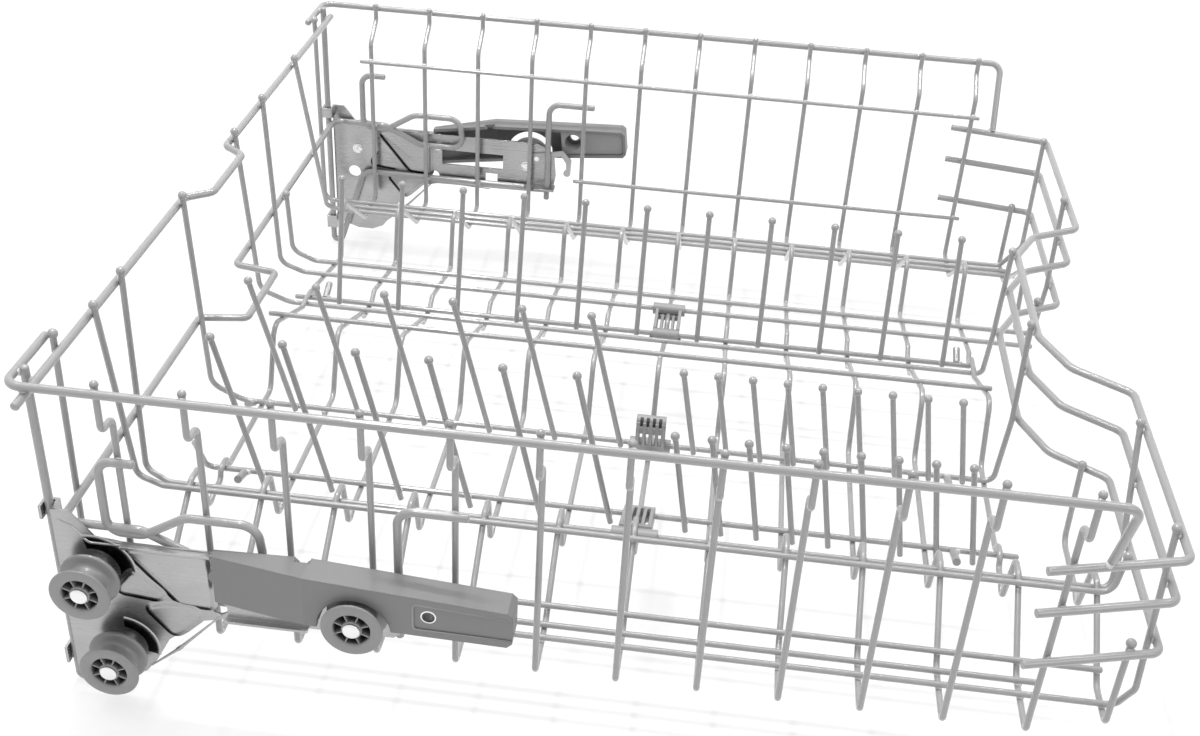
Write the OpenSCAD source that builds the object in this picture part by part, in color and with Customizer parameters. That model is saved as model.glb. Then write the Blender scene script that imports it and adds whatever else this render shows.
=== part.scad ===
// Dishwasher upper rack: welded wire basket, two folding tine rows, two height-adjuster carriages.
// Millimetres, +X to the front of the rack, +Y to the far side, +Z up.
// Origin at the middle of the bounding box, on the plane of the lowest point.
// Inside the modules x, y and z are counted from the near rear corner of the rim wire.

/* [Basket] */
// spacing of the cross wires along the rack
pitch = 39; // [36:0.5:42]
// number of spaces between the cross wires
bays = 11; // [9:1:11]
// distance between the centre lines of the two rim wires
rim_span = 512.1; // [505:0.1:520]
// depth of the near floor flat below the rim wire
basket_depth = 146; // [142:0.5:150]
// setback of the near uprights from the rim
wall_step = 11.75; // [10:0.25:13]

/* [Wires] */
// diameter of the rim, bar and guide wires
rim_d = 4.2; // [3.8:0.1:4.4]
// diameter of the cross, floor and tine wires
wire_d = 3.2; // [2.8:0.1:3.4]
// diameter of the thin far wall wires
thin_d = 2.6; // [2:0.1:3]
// diameter of the balls at the wire ends
ball_d = 5.0; // [4.4:0.1:5.6]
// space left between two wires that are welded face to face
weld_gap = 0.05; // [0.02:0.01:0.1]

/* [Tines] */
// spacing of the tall tines
tine_pitch = 39; // [36:0.5:42]
// height of the tall tines of the near row above their axle wire
near_tine_h = 88; // [70:1:92]
// height of the tall tines of the middle row above their base wire
mid_tine_h = 88; // [70:1:92]
// height of the short tines above their base wire
short_tine_h = 57; // [45:1:62]
// height of the far row tines above their axle wire
far_tine_h = 80; // [65:1:84]
// lean of the far row away from upright
far_tine_lean = 14; // [8:0.5:16]

/* [Carriages] */
// thickness of the stamped carriage sheet
sheet_t = 1.4; // [1:0.1:1.6]
// distance of the carriage sheet from the near rim centre line
sheet_y = 6.6; // [6:0.1:7]
// plane of the release lever's outer face
lever_y = -8.5; // [-10:0.1:-8.5]
// angle of the far lever above the near one
lever_lift = 6.9; // [0:0.1:7]

/* [Rollers] */
// radius of the roller flanges
roller_r = 14.6; // [13:0.1:15]
// radius of the roller's running groove
groove_r = 9.6; // [8.5:0.1:10]
// width of a roller over its flanges
roller_w = 13.5; // [12:0.1:14]
// radius of the axle pins
axle_r = 3; // [2.5:0.1:3.4]
// plane of the rollers' outer faces
roller_y = -13.5; // [-14:0.1:-13]

/* [Hidden] */
fit = 0.05;
bend_fn = 36;
bend_lap = 0.25;
bend_swell = 0.06;
rr = rim_d / 2;
wr = wire_d / 2;
near_touch = rr + wr + weld_gap;
wire_touch = wire_d + weld_gap;
near_post_y = near_touch;
near_wall_y = near_post_y + wall_step;
far_post_y = rim_span - near_post_y;
far_wall_y = rim_span - 21.2;
floor_lo = -basket_depth;
floor_z = floor_lo + 2.5;
far_floor_z = floor_lo + 5;
on_floor_z = floor_z + wire_touch;
x_last = bays * pitch;
ball_z = 2.6;
guide_y = near_wall_y - near_touch;
mirror_y = (guide_y + far_wall_y + near_touch) / 2;
post_x = -34.8;
rim_leg_x = post_x - rim_d - weld_gap;
rear_bar_x = post_x + rim_d + weld_gap;
rear_x = rear_bar_x + near_touch;
rear_back_x = rear_bar_x - near_touch;
rear_bar_z = -rim_d - weld_gap;
guide_run_z = -82.6;
post_low_z = -181.3;
bar_x = x_last + 53;
recess_x = x_last + 11;
bar_z = [-43.8, -67.9, -98.5];
front_x = bar_x - near_touch;
niche_x = recess_x - near_touch;
leg_x = x_last - 12;
near_leg_slope = 0.288;
far_leg_slope = -0.182;
near_leg_y = near_wall_y - near_touch * norm([1, near_leg_slope]);
far_leg_y = far_wall_y + near_touch * norm([1, far_leg_slope]);
near_leg = [for (x = [leg_x, bar_x]) [x, near_leg_y + (x - x_last) * near_leg_slope]];
far_leg = [for (x = [leg_x, bar_x]) [x, far_leg_y + (x - x_last) * far_leg_slope]];
near_shoulder = [[x_last + 24, 181], [bar_x, 162]];
far_shoulder = [[x_last + 24, 333], [bar_x, 350]];
half = floor(bays / 2);
clip_x = half * pitch + pitch;
clip_w = 17;
base_z = -post_low_z + rr + bend_swell / 2;
x_mid = (bar_x + rim_leg_x) / 2;
y_mid = mirror_y;
near_axle_y = 139;
mid_base_y = 206.7;
far_axle_y = 314;
far_axle_z = -128.85;
axles = [[-14.5, -105], [-6.5, -152], [113.5, -106.3]];
lever_pivot = [47, -97];
latch_pivot = [121.5, -99];
boss_y = roller_y + roller_w + 0.3;

// Vector helpers
function p3(p) = [p[0], p[1], p[2]];
function unit(v) = v / norm(v);
// y on the line through a and b at x, and how far beside that line a welded wire stands
function line_y(x, l) = l[0][1] + (x - l[0][0]) * (l[1][1] - l[0][1]) / (l[1][0] - l[0][0]);
function stand_off(l) = near_touch * norm(l[1] - l[0]) / abs(l[1][0] - l[0][0]);
function turn(a, b, c) = acos(max(-1, min(1, unit(b - a) * unit(c - b))));
function bend_r(a, b, c, r) = let(h = tan(turn(a, b, c) / 2))
  h < 0.001 ? 0 : min(r, 0.45 * min(norm(b - a), norm(c - b)) / h);
function setback(w, i) = i == 0 || i == len(w) - 1 ? 0
  : let(a = p3(w[i - 1]), b = p3(w[i]), c = p3(w[i + 1]))
    bend_r(a, b, c, w[i][3]) * tan(turn(a, b, c) / 2);

module place() translate([-x_mid, -y_mid, base_z]) children();

module far_side() translate([0, 2 * mirror_y, 0]) mirror([0, 1, 0]) children();

// Straight piece of round wire from a to b
module bar(a, b, d) {
  v = b - a;
  translate(a)
    rotate([0, acos(v[2] / norm(v)), atan2(v[1], v[0])])
      cylinder(d = d, h = norm(v), $fn = bend_fn);
}

// Bend of radius r at corner b
module elbow(a, b, c, d, r) {
  t = turn(a, b, c);
  u = unit(b - a);
  w = unit(c - b);
  n = unit(w - u * (u * w));
  k = cross(-n, u);
  o = b - u * (r * tan(t / 2)) + n * r;
  multmatrix([[-n[0], u[0], k[0], o[0]], [-n[1], u[1], k[1], o[1]],
    [-n[2], u[2], k[2], o[2]], [0, 0, 0, 1]])
    rotate_extrude(angle = t, $fn = bend_fn)
      translate([r, 0])
        circle(d = d, $fn = bend_fn);
}

// Wire through the corners w, each [x, y, z, bend radius]
// The straights run a little way into the bends, which are a hair thicker.
module wire(w, d) {
  for (i = [0 : len(w) - 2]) {
    u = unit(p3(w[i + 1]) - p3(w[i]));
    s0 = setback(w, i);
    s1 = setback(w, i + 1);
    bar(p3(w[i]) + u * (s0 > 0 ? s0 - bend_lap : 0),
      p3(w[i + 1]) - u * (s1 > 0 ? s1 - bend_lap : 0), d);
  }
  for (i = [1 : len(w) - 2]) {
    r = bend_r(p3(w[i - 1]), p3(w[i]), p3(w[i + 1]), w[i][3]);
    elbow(p3(w[i - 1]), p3(w[i]), p3(w[i + 1]), d + bend_swell, r);
  }
}

module ball(p, d = ball_d) translate(p) sphere(d = d, $fn = 28);

// Corner list in a plane of constant x, from [y, z, r] entries
function in_x(x, pts) = [for (p = pts) [x, p[0], p[1], p[2]]];
// Corner list in a plane of constant z, from [x, y, r] entries
function in_z(z, pts) = [for (p = pts) [p[0], p[1], z, p[2]]];
// Corner list in a plane of constant y, from [x, z, r] entries
function in_y(y, pts) = [for (p = pts) [p[0], y, p[1], p[2]]];

// Near wall and near floor hump of a cross wire, [y, z, r]
near_wall = [[near_post_y, ball_z, 0], [near_post_y, -22.5, 4], [near_wall_y, -22.5, 4],
  [near_wall_y, floor_lo, 3.5]];
near_hump = [[50.5, floor_lo, 8], [93, floor_lo + 31.8, 6], [103.5, floor_lo + 31.5, 4],
  [112, floor_lo - 1, 4]];
axle_hump = [[121.5, floor_z, 6], [near_axle_y - 7, floor_z, 4],
  [near_axle_y - 4.5, on_floor_z + wire_touch, 4], [near_axle_y + 4.5, on_floor_z + wire_touch, 4],
  [near_axle_y + 8, floor_z, 4]];
flat_floor = [[121.5, floor_z, 6]];
slope_part = [[225, floor_z, 7], [240.5, floor_lo + 40.5, 9], [297, floor_lo + 19.5, 3]];
under_axle = [[302, floor_lo + 14.4, 3], [322, floor_lo + 13.6, 3]];
over_axle = [[304, far_axle_z + wire_touch + 0.6, 4], [318, far_axle_z + wire_touch, 4],
  [323.5, floor_lo + 13.6, 2.5]];
far_hump = [[329.5, floor_lo + 18.2, 3], [390.5, floor_lo + 6.2, 3.5], [400.2, floor_lo + 46.7, 7],
  [457.5, far_floor_z, 8]];
far_wall = [[far_wall_y, far_floor_z, 3.5], [far_wall_y, -19, 5], [far_post_y, -7.5, 4],
  [far_post_y, ball_z, 0]];
plain_profile = concat(near_wall, near_hump, flat_floor, slope_part, under_axle, far_hump, far_wall);
end_profile = concat(near_wall, near_hump, axle_hump, slope_part, over_axle, far_hump, far_wall);

module one_cross_wire(x, profile) {
  wire(in_x(x, profile), wire_d);
  ball([x, near_post_y, ball_z], ball_d - 0.9);
  ball([x, far_post_y, ball_z], ball_d - 0.9);
}

// The rearmost and foremost cross wires, which also hold down the two folding axles
module end_cross_wires() color("silver") place()
  for (i = [0, bays])
    one_cross_wire(i * pitch, end_profile);

module rear_cross_wires() color("silver") place()
  for (i = [1 : half])
    one_cross_wire(i * pitch, plain_profile);

module front_cross_wires() color("silver") place()
  for (i = [half + 1 : bays - 1])
    one_cross_wire(i * pitch, plain_profile);

// Two short wires in front of the last cross wire, one on each side of the recess
module end_wires() color("silver") place() {
  x = x_last + pitch;
  top_z = bar_z[2] + 3.8;
  y1 = line_y(x, near_leg) + stand_off(near_leg);
  y2 = line_y(x, near_shoulder) - stand_off(near_shoulder);
  y3 = line_y(x, far_shoulder) + stand_off(far_shoulder);
  y4 = line_y(x, far_leg) - stand_off(far_leg);
  near_pts = concat([[y1, top_z, 0], [y1, floor_lo, 3.5]], near_hump,
    [[121.5, floor_z, 6], [y2 - 5, floor_z, 7], [y2, top_z, 0]]);
  far_pts = [[y3, top_z, 0], [y3 + 4, floor_lo + 14.2, 5], [390.5, floor_lo + 6.2, 3.5],
    [400.2, floor_lo + 46.7, 7], [457.5, far_floor_z, 8], [y4, far_floor_z, 3.5], [y4, top_z, 0]];
  wire(in_x(x, near_pts), wire_d);
  wire(in_x(x, far_pts), wire_d);
  for (y = [y1, y2, y3, y4])
    ball([x, y, top_z]);
}

// Rim wire along one side: rear leg, corner, long run and the drop onto the top bar
module rim_wire(y, leg_end, foot_y) {
  x = x_last + 16;
  wire([[rim_leg_x, leg_end, 0, 0], [rim_leg_x, y, 0, 7], [x, y, 0, 7],
    [x, foot_y, bar_z[0] + rr + 0.4, 0]], rim_d);
}

module near_rim_wire() color("silver") place()
  rim_wire(0, 42, line_y(x_last + 16, near_leg));

module far_rim_wire() color("silver") place()
  rim_wire(rim_span, rim_span - 42, line_y(x_last + 16, far_leg));

// Three floor wires behind the near wall, the last one rising at both ends
module near_floor_wires() color("silver") place() {
  x = x_last + 44;
  wire([[1, 55.2, -138.4, 0], [x - 4, 55.2, -138.4, 0]], wire_d);
  wire([[1, 45.7, floor_lo + wire_touch, 0], [x_last + 10, 45.7, floor_lo + wire_touch, 0]], wire_d);
  wire([[rear_back_x, 40, ball_z, 0], [rear_back_x, 36.4, floor_lo + wire_touch, 7],
    [x, 36.4, floor_lo + wire_touch, 6], [front_x, 31, -126, 8], [front_x, 44, bar_z[0] + 4, 0]], wire_d);
  ball([rear_back_x, 40, ball_z]);
  ball([front_x, 44, bar_z[0] + 4]);
}

// Two wires on and under the near hump, turned up into uprights at both ends
module near_hump_wires() color("silver") place() {
  lower_z = floor_lo + 30.95;
  upper_z = floor_lo + 27.8;
  wire([[rear_x, 68, ball_z, 0], [rear_x, 88, lower_z + 4, 6], [rear_x + 14, 86.4, lower_z, 9],
    [front_x - 4, 86.4, lower_z, 8], [front_x, 91, bar_z[2] + 4, 0]], wire_d);
  wire([[rear_x, 101.4, ball_z, 0], [rear_x, 99.4, upper_z + 3, 6], [rear_x + 14, 93.6, upper_z, 9],
    [front_x - 3, 93.6, upper_z, 6], [front_x, 103, bar_z[2] + 2, 14],
    [front_x, 128.5, bar_z[0] + 4, 0]], wire_d);
  ball([rear_x, 68, ball_z]);
  ball([rear_x, 101.4, ball_z]);
  ball([front_x, 91, bar_z[2] + 4]);
  ball([front_x, 128.5, bar_z[0] + 4]);
}

module middle_base_wire() color("silver") place() {
  x = rear_x;
  wire([[x, 187, ball_z, 0], [x, 200, on_floor_z + 14, 14], [x + 16, mid_base_y, on_floor_z, 12],
    [niche_x - 3, mid_base_y, on_floor_z, 6], [niche_x, 209, bar_z[2], 14],
    [niche_x, 217, bar_z[0] + 4, 0]], wire_d);
  ball([x, 187, ball_z]);
  ball([niche_x, 217, bar_z[0] + 4]);
}

module slope_wire() color("silver") place()
  wire([[-7, 254.8, floor_lo + 38.66, 0], [recess_x - 9, 254.8, floor_lo + 38.66, 0]], wire_d);

module far_base_wire() color("silver") place() {
  x = rear_x;
  z = floor_lo + 17.52;
  wire([[x, 274, ball_z, 0], [x, 296, z + 13, 14], [x + 16, 305.2, z, 12],
    [niche_x - 1.5, 305.2, z, 4.4], [niche_x, 305, bar_z[2], 14], [niche_x, 303, bar_z[0] + 4, 0]],
    wire_d);
  ball([x, 274, ball_z]);
  ball([niche_x, 303, bar_z[0] + 4]);
}

// Two wires on the slope between the far folding row and the far hump
module far_slope_wires() color("silver") place() {
  x = rear_x;
  z1 = floor_lo + 18.66;
  z2 = floor_lo + 13.6;
  wire([[x, 327, ball_z, 0], [x, 340, z1 + 8, 10], [x + 14, 344, z1, 9],
    [x_last + 41, 344, z1, 0]], wire_d);
  wire([[x, 361, guide_run_z + 3.4, 0], [x, 367, z2 + 8, 10], [x + 14, 369.7, z2, 9],
    [front_x - 3, 369.7, z2, 6], [front_x, 374, bar_z[2], 14], [front_x, 383, bar_z[0] + 4, 0]], wire_d);
  ball([x, 327, ball_z]);
  ball([x, 361, guide_run_z + 3.4]);
  ball([front_x, 383, bar_z[0] + 4]);
}

module far_floor_wires() color("silver") place() {
  x = rear_x;
  z = far_floor_z + wire_touch;
  wire([[x, 396, ball_z, 0], [x, 452, z + 6, 8], [x + 10, 459.5, z, 7],
    [x_last + 46, 459.5, z, 0]], wire_d);
  wire([[-12, 466.5, z, 0], [x_last + 44, 466.5, z, 0]], wire_d);
  wire([[rear_back_x, 470, ball_z, 0], [rear_back_x, 474, z, 7], [bar_x - 16, 474, z, 6],
    [front_x, 470, -118, 8], [front_x, 477, bar_z[0] + 4, 0]], wire_d);
  ball([x, 396, ball_z]);
  ball([rear_back_x, 470, ball_z]);
  ball([front_x, 477, bar_z[0] + 4]);
}

module far_wall_wires() color("silver") place() {
  y = far_wall_y - wr - thin_d / 2 - weld_gap;
  wire([[-7, y, -32, 0], [x_last + 4, y, -32, 0]], thin_d);
  wire([[4 * pitch - 5, y, -110, 0], [x_last + 4, y, -110, 0]], thin_d);
}

// Plan of a front bar: two side legs, two front faces and a recess between them, [x, y, r]
front_plan = [concat(near_leg[0], 0), concat(near_leg[1], 6), concat(near_shoulder[1], 8),
  concat(near_shoulder[0], 14), [recess_x, 211, 14], [recess_x, 306, 14], concat(far_shoulder[0], 14),
  concat(far_shoulder[1], 8), concat(far_leg[1], 6), concat(far_leg[0], 0)];

module front_bar_top() color("silver") place() wire(in_z(bar_z[0], front_plan), rim_d);

module front_bar_middle() color("silver") place() wire(in_z(bar_z[1], front_plan), rim_d);

module front_bar_low() color("silver") place() wire(in_z(bar_z[2], front_plan), rim_d);

module rear_rim_wire() color("silver") place() {
  x = rear_bar_x;
  wire(in_z(rear_bar_z, [[x, -9, 0], [x, 198, 6], [x + 13, 208, 6], [x + 13, 258, 6],
    [x, 268, 6], [x, rim_span - 14, 0]]), rim_d);
}

// Half of the guide wire: front hook, run behind the carriage, rear corner
guide_hook = [[8, -45, 0], [-8.5, -45, 7], [-8.5, -85.5, 9], [9, -85.5, 8], [30, -72.5, 12],
  [64, -72.5, 9], [66.5, -95.5, 8]];

module guide_wire() color("silver") place() {
  x = rear_bar_x;
  far_y = 2 * mirror_y - guide_y;
  near_part = concat(in_y(guide_y, guide_hook), [[34, guide_y, -95.5, 12], [8, guide_y, guide_run_z, 12]]);
  far_part = concat(in_y(far_y, guide_hook), [[34, far_y, -95.5, 12], [8, far_y, guide_run_z, 12]]);
  n = len(far_part) - 1;
  rear = in_z(guide_run_z, [[x, guide_y, 8], [x, 202, 4], [x + 26.5, 207, 4], [x + 26.5, 262, 4],
    [x, 267, 4], [x, far_y, 8]]);
  wire(concat(near_part, rear, [for (i = [0 : n]) far_part[n - i]]), rim_d);
}

// Rear corner post: hangs from the rim leg, turns back up and runs along the foot of the wall
module corner_post() {
  z = -121.5;
  wire(in_y(guide_y, [[post_x, 2.1, 0], [post_x, post_low_z, 4], [post_x + 6, post_low_z, 4],
    [-9, z, 8], [pitch * 3 - 4, z, 0]]), rim_d);
}

module near_post() color("silver") place() corner_post();

module far_post() color("silver") place() far_side() corner_post();

module front_hook() wire(in_y(guide_y, [[4 * pitch + 6, -54, 0], [130, -54, 8], [130, -129, 0]]), rim_d);

module near_front_hook() color("silver") place() front_hook();

module far_front_hook() color("silver") place() far_side() front_hook();

// One tine from its foot, leaning in x and y, with a ball on top
module tine(foot, dx, dy, h) {
  top = foot + [dx, dy, h];
  wire([[foot[0], foot[1], foot[2], 0], [top[0], top[1], top[2], 0]], wire_d);
  ball(top);
}

// Row of pins of a given spacing
module tine_row(x0, step, n, y, z, dx, dy, h)
  for (i = [0 : n - 1])
    tine([x0 + step * i, y, z], dx, dy, h);

tall_n = 6;
short_n = 9;
short_x = 6.5 * pitch + 6.3;
foot_drop = 5;

module middle_tall_tines() color("silver") place()
  tine_row(22, tine_pitch, tall_n, mid_base_y - wire_touch, on_floor_z - 1, -21, -4, mid_tine_h);

module middle_short_tines() color("silver") place()
  tine_row(short_x, tine_pitch / 2, short_n, mid_base_y - wire_touch, on_floor_z - 1, -10, -4, short_tine_h);

// Short thick pin that stands out of a base wire at y, z to one side and rises
module stop_pin(x, y, z, side, rise, h) {
  v = [0, side, rise] / norm([side, rise]);
  foot = [x, y + side * (wr * norm([side, rise]) + weld_gap), z];
  bar(foot, foot + v * h, 4.4);
}

module middle_stop_pins() color("silver") place() {
  stop_pin(recess_x - 33, mid_base_y, on_floor_z, -1, 0.22, 12);
  stop_pin(-4, mid_base_y, on_floor_z, -1, 0.6, 11);
}

module near_row_axle() color("silver") place()
  wire([[-9.6, near_axle_y - 14, on_floor_z + 26, 0], [-9.6, near_axle_y, on_floor_z, 5],
    [recess_x - 1, near_axle_y, on_floor_z, 0]], wire_d);

module near_row_tall_tines() color("silver") place()
  tine_row(23.5, tine_pitch, tall_n, near_axle_y - wire_touch, on_floor_z - foot_drop, -22.5, 0,
    near_tine_h + foot_drop);

module near_row_short_tines() color("silver") place()
  tine_row(short_x, tine_pitch / 2, short_n, near_axle_y - wire_touch, on_floor_z - foot_drop, -10.4, 0,
    short_tine_h + foot_drop);

module near_row_pins() color("silver") place() {
  stop_pin(12.5, near_axle_y, on_floor_z, -1, 0.3, 12);
  stop_pin(x_last - 24.3, near_axle_y, on_floor_z, -1, 0.3, 14);
}

module far_row_axle() color("silver") place()
  wire([[-9, far_axle_y, far_axle_z, 0], [recess_x - 12, far_axle_y, far_axle_z, 0]], wire_d);

module far_row_tines() color("silver") place()
  tine_row(20.4, tine_pitch, bays, far_axle_y - wire_touch * cos(far_tine_lean) - sin(far_tine_lean),
    far_axle_z + wire_touch * sin(far_tine_lean) - cos(far_tine_lean), 0,
    far_tine_h * tan(far_tine_lean), far_tine_h);

module far_row_pins() color("silver") place() {
  stop_pin(10, far_axle_y, far_axle_z, 1, 0.5, 11);
  stop_pin(x_last - 9, far_axle_y, far_axle_z, 1, 0.5, 11);
}

// Plastic comb clip: a sleeve on the carrier wire at y0, z0, a slotted plate to the wire at y1, z1
// and an eye round that wire; over is the stretch of cross wire that it lies on
module comb_clip(y0, z0, y1, z1, sleeve_w, over) {
  hole = wire_d + 2 * (fit + 0.01);
  out = hole + 4.4;
  long = norm([y1 - y0, z1 - z0]);
  slot_n = 4;
  difference() {
    translate([clip_x, y0, z0])
      rotate([atan2(z1 - z0, y1 - y0), 0, 0])
        difference() {
          union() {
            translate([-sleeve_w / 2, 0, 0])
              rotate([0, 90, 0])
                cylinder(d = out, h = sleeve_w, $fn = bend_fn);
            translate([-clip_w / 2, long, 0])
              rotate([0, 90, 0])
                cylinder(d = out, h = clip_w, $fn = bend_fn);
            translate([-clip_w / 2, 0, 2.1])
              cube([clip_w, long, 3]);
            for (k = [-1, 1])
              translate([k * (clip_w / 2 - 1) - 1, out / 2, -2.5])
                cube([2, long - out, 7]);
          }
          translate([-sleeve_w, 0, 0])
            rotate([0, 90, 0])
              cylinder(d = hole, h = 2 * sleeve_w, $fn = bend_fn);
          translate([-sleeve_w, long, 0])
            rotate([0, 90, 0])
              cylinder(d = hole, h = 2 * sleeve_w, $fn = bend_fn);
          for (k = [0 : slot_n - 1])
            translate([(k - (slot_n - 1) / 2) * 3.6 - 0.8, out / 2 + 1.5, -6])
              cube([1.6, long - out - 3, 12]);
        }
    wire(in_x(clip_x, over), wire_d + 2 * (fit + 0.01));
  }
}

near_floor_path = concat([[near_wall_y, floor_lo, 0]], near_hump, [[121.5, floor_z, 6], [225, floor_z, 0]]);

module near_clip() color("gray") place()
  comb_clip(93.6, floor_lo + 27.8, near_axle_y, on_floor_z, 24, near_floor_path);

module middle_clip() color("gray") place()
  comb_clip(mid_base_y, on_floor_z, mid_base_y - 6, on_floor_z + 20, 24, near_floor_path);

module far_clip() color("gray") place()
  comb_clip(344, floor_lo + 18.66, far_axle_y, far_axle_z, 21,
    concat([[302, floor_lo + 14.4, 0]], [under_axle[1]], far_hump));

// Carriage sheet outline, [x, z]
sheet_outline = [[-32.4, -72], [-24, -72], [-13, -86], [0, -87.5], [122, -87.5], [130, -91],
  [134.5, -97], [136, -112], [134.5, -121], [128, -126.5], [46, -127.5], [34, -130.5], [17, -145],
  [9, -160], [3, -168], [-5, -171.5], [-16, -171.5], [-32.4, -166]];

// Flat prism in the x-z plane, from plane y over thickness t
module slab(pts, y, t)
  translate([0, y + t, 0])
    rotate([90, 0, 0])
      linear_extrude(t)
        polygon(pts);

// Cylinder along y through [x, z]
module pin_y(c, r, y, h)
  translate([c[0], y + h, c[1]])
    rotate([90, 0, 0])
      cylinder(r = r, h = h, $fn = bend_fn);

// Open clip that holds a guide wire, between heights z0 and z1
module wire_clip(x, z0, z1) {
  room = rr + 0.3;
  x0 = x - room - sheet_t;
  translate([x + room, sheet_y, z0])
    cube([sheet_t, guide_y + room + sheet_t - sheet_y, z1 - z0]);
  translate([x0, guide_y + room, z0])
    cube([2 * room + 2 * sheet_t, sheet_t, z1 - z0]);
  translate([x0, sheet_y + 1, z0])
    cube([sheet_t, guide_y + room + sheet_t - sheet_y - 1, z1 - z0]);
}

module carriage() {
  back = sheet_y + sheet_t;
  difference() {
    union() {
      slab(sheet_outline, sheet_y, sheet_t);
      // top and bottom stiffening flanges, turned outwards
      translate([0, sheet_y - 3, -88.9])
        cube([43, 3, sheet_t]);
      translate([47, sheet_y - 3, -127.5])
        cube([40, 3, sheet_t]);
      // raised pads pressed out of the sheet
      slab([[3.5, -104.4], [16.4, -115.5], [14, -118.5], [-3.4, -116.6], [-2.8, -112.2]],
        sheet_y - 1, 1);
      slab([[9.3, -126], [20.2, -139.7], [24, -137], [33.8, -127.3], [29.4, -121.6], [16, -123.5]],
        sheet_y - 1, 1);
      slab([[3, -91.2], [25.5, -119.2], [40, -119.8], [40, -90.2]], sheet_y - 1.6, 1.6);
      // bosses under the rollers
      for (c = axles) pin_y(c, axle_r + 3.4, boss_y, sheet_y - boss_y);
      wire_clip(post_x, -79.5, -72);
      wire_clip(post_x, -170, -160);
      // foot that guides the front hook wire
      translate([121, back, -121])
        cube([15, guide_y + 6 - back, sheet_t]);
    }
    for (c = axles) pin_y(c, axle_r, boss_y - 1, sheet_y + sheet_t + 2 - boss_y);
    // window behind the lever
    translate([50, sheet_y - 1, -111])
      cube([46, sheet_t + 2, 11.5]);
    pin_y(lever_pivot + [-3, -24], 3.8, sheet_y - 1, sheet_t + 2);
    pin_y([-17.5, -124], 4.6, sheet_y - 1, sheet_t + 2);
    translate([83, sheet_y - 1, -122])
      cube([9, sheet_t + 2, 7]);
    pin_y(lever_pivot, 1.95, sheet_y - 5, sheet_t + 8);
    pin_y(latch_pivot, 1.95, sheet_y - 5, sheet_t + 8);
    translate([130, guide_y, -125])
      cylinder(r = rr + 0.3, h = 8, $fn = bend_fn);
  }
}

module near_carriage() color("lightgray") place() carriage();

module far_carriage() color("lightgray") place() far_side() carriage();

// Axle pin with a domed head outside and a riveted end inside
module axle_pin(c) {
  head_y = roller_y - 0.3;
  pin_y(c, axle_r - fit, head_y, sheet_y + sheet_t - head_y);
  pin_y(c, axle_r + 1.1, head_y - 1, 1);
  pin_y(c, axle_r + 0.7, sheet_y + sheet_t, 0.9);
}

module axle_set() for (c = axles) axle_pin(c);

module near_axle_pins() color("white") place() axle_set();

module far_axle_pins() color("white") place() far_side() axle_set();

// Spool roller with two flanges, a running groove and an open spoked face
module roller(c) {
  y0 = roller_y;
  hub_r = axle_r + 1.9;
  rim_r = groove_r - 1.1;
  difference() {
    translate([c[0], y0 + roller_w, c[1]])
      rotate([90, 0, 0])
        rotate_extrude($fn = 48)
          polygon([[axle_r, 0], [roller_r, 0], [roller_r, 1.6], [groove_r, 3.2],
            [groove_r, roller_w - 3.4], [roller_r, roller_w - 2], [roller_r, roller_w - 0.5],
            [roller_r - 0.5, roller_w], [axle_r, roller_w]]);
    difference() {
      translate([c[0], y0 + 7, c[1]])
        rotate([90, 0, 0])
          difference() {
            cylinder(r = rim_r, h = 8, $fn = 48);
            translate([0, 0, -1]) cylinder(r = hub_r, h = 10, $fn = 48);
          }
      for (k = [0 : 3])
        translate([c[0], y0 + 4.6, c[1]])
          rotate([0, 22.5 + 45 * k, 0])
            cube([2 * rim_r + 2, 8, 0.9], center = true);
    }
  }
}

module near_upper_roller() color("dimgray") place() roller(axles[0]);

module near_lower_roller() color("dimgray") place() roller(axles[1]);

module near_front_roller() color("dimgray") place() roller(axles[2]);

module far_upper_roller() color("dimgray") place() far_side() roller(axles[0]);

module far_lower_roller() color("dimgray") place() far_side() roller(axles[1]);

module far_front_roller() color("dimgray") place() far_side() roller(axles[2]);

// Release lever: a shell open towards the sheet, [x, z] outline
lever_outline = [[44.5, -84.4], [90, -82.8], [184.5, -89.8], [187, -92.2], [187, -107.5],
  [184.5, -110], [128, -108.8], [97, -110.8], [44.5, -111.8]];
lever_inner = [[46.5, -86.6], [90, -85], [183.5, -91.8], [185, -93.2], [185, -106.6],
  [183.5, -107.9], [128, -106.7], [97, -108.6], [46.5, -109.6]];

// Space outboard of the lever's run-out, moved inwards by w
module run_out(w)
  translate([0, 0, -130])
    linear_extrude(60)
      polygon([[40, lever_y - 2], [92, lever_y - 2], [90, lever_y + w], [44, 1 + w], [40, 1 + w]]);

module lever() {
  wall = 1.8;
  back = sheet_y - 0.5;
  difference() {
    union() {
      difference() {
        slab(lever_outline, lever_y, back - lever_y);
        difference() {
          slab(lever_inner, lever_y + wall, back - lever_y);
          run_out(wall);
        }
      }
      pin_y(lever_pivot, 4.6, 0.5, back - 0.5);
    }
    run_out(0);
    // arc round the front roller
    pin_y([113.2, -110.3], 17.4, lever_y - 1, 30);
    pin_y(axles[2], roller_r + 3.4, lever_y + 3.4, 20);
    pin_y(axles[2] + [0, -6], roller_r + 3.4, lever_y + 3.4, 20);
    // finger recess and slot
    slab([[141, -90.5], [190, -93.9], [190, -106], [141, -105.2]], lever_y - 1, 1.6);
    pin_y([148.2, -97.5], 3.7, lever_y - 1, 20);
    // notch in the back of the top edge
    pin_y([87, -81.6], 4, 2.5, 20);
    pin_y(lever_pivot, 1.9 + fit, 3, 10);
  }
}

module near_lever() color("gray") place() lever();

// Turns about the lever pin in the x-z plane
module tilt(c, a) translate([c[0], 0, c[1]]) rotate([0, -a, 0]) translate([-c[0], 0, -c[1]]) children();

module far_lever() color("gray") place() far_side() tilt(lever_pivot, lever_lift) lever();

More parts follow.
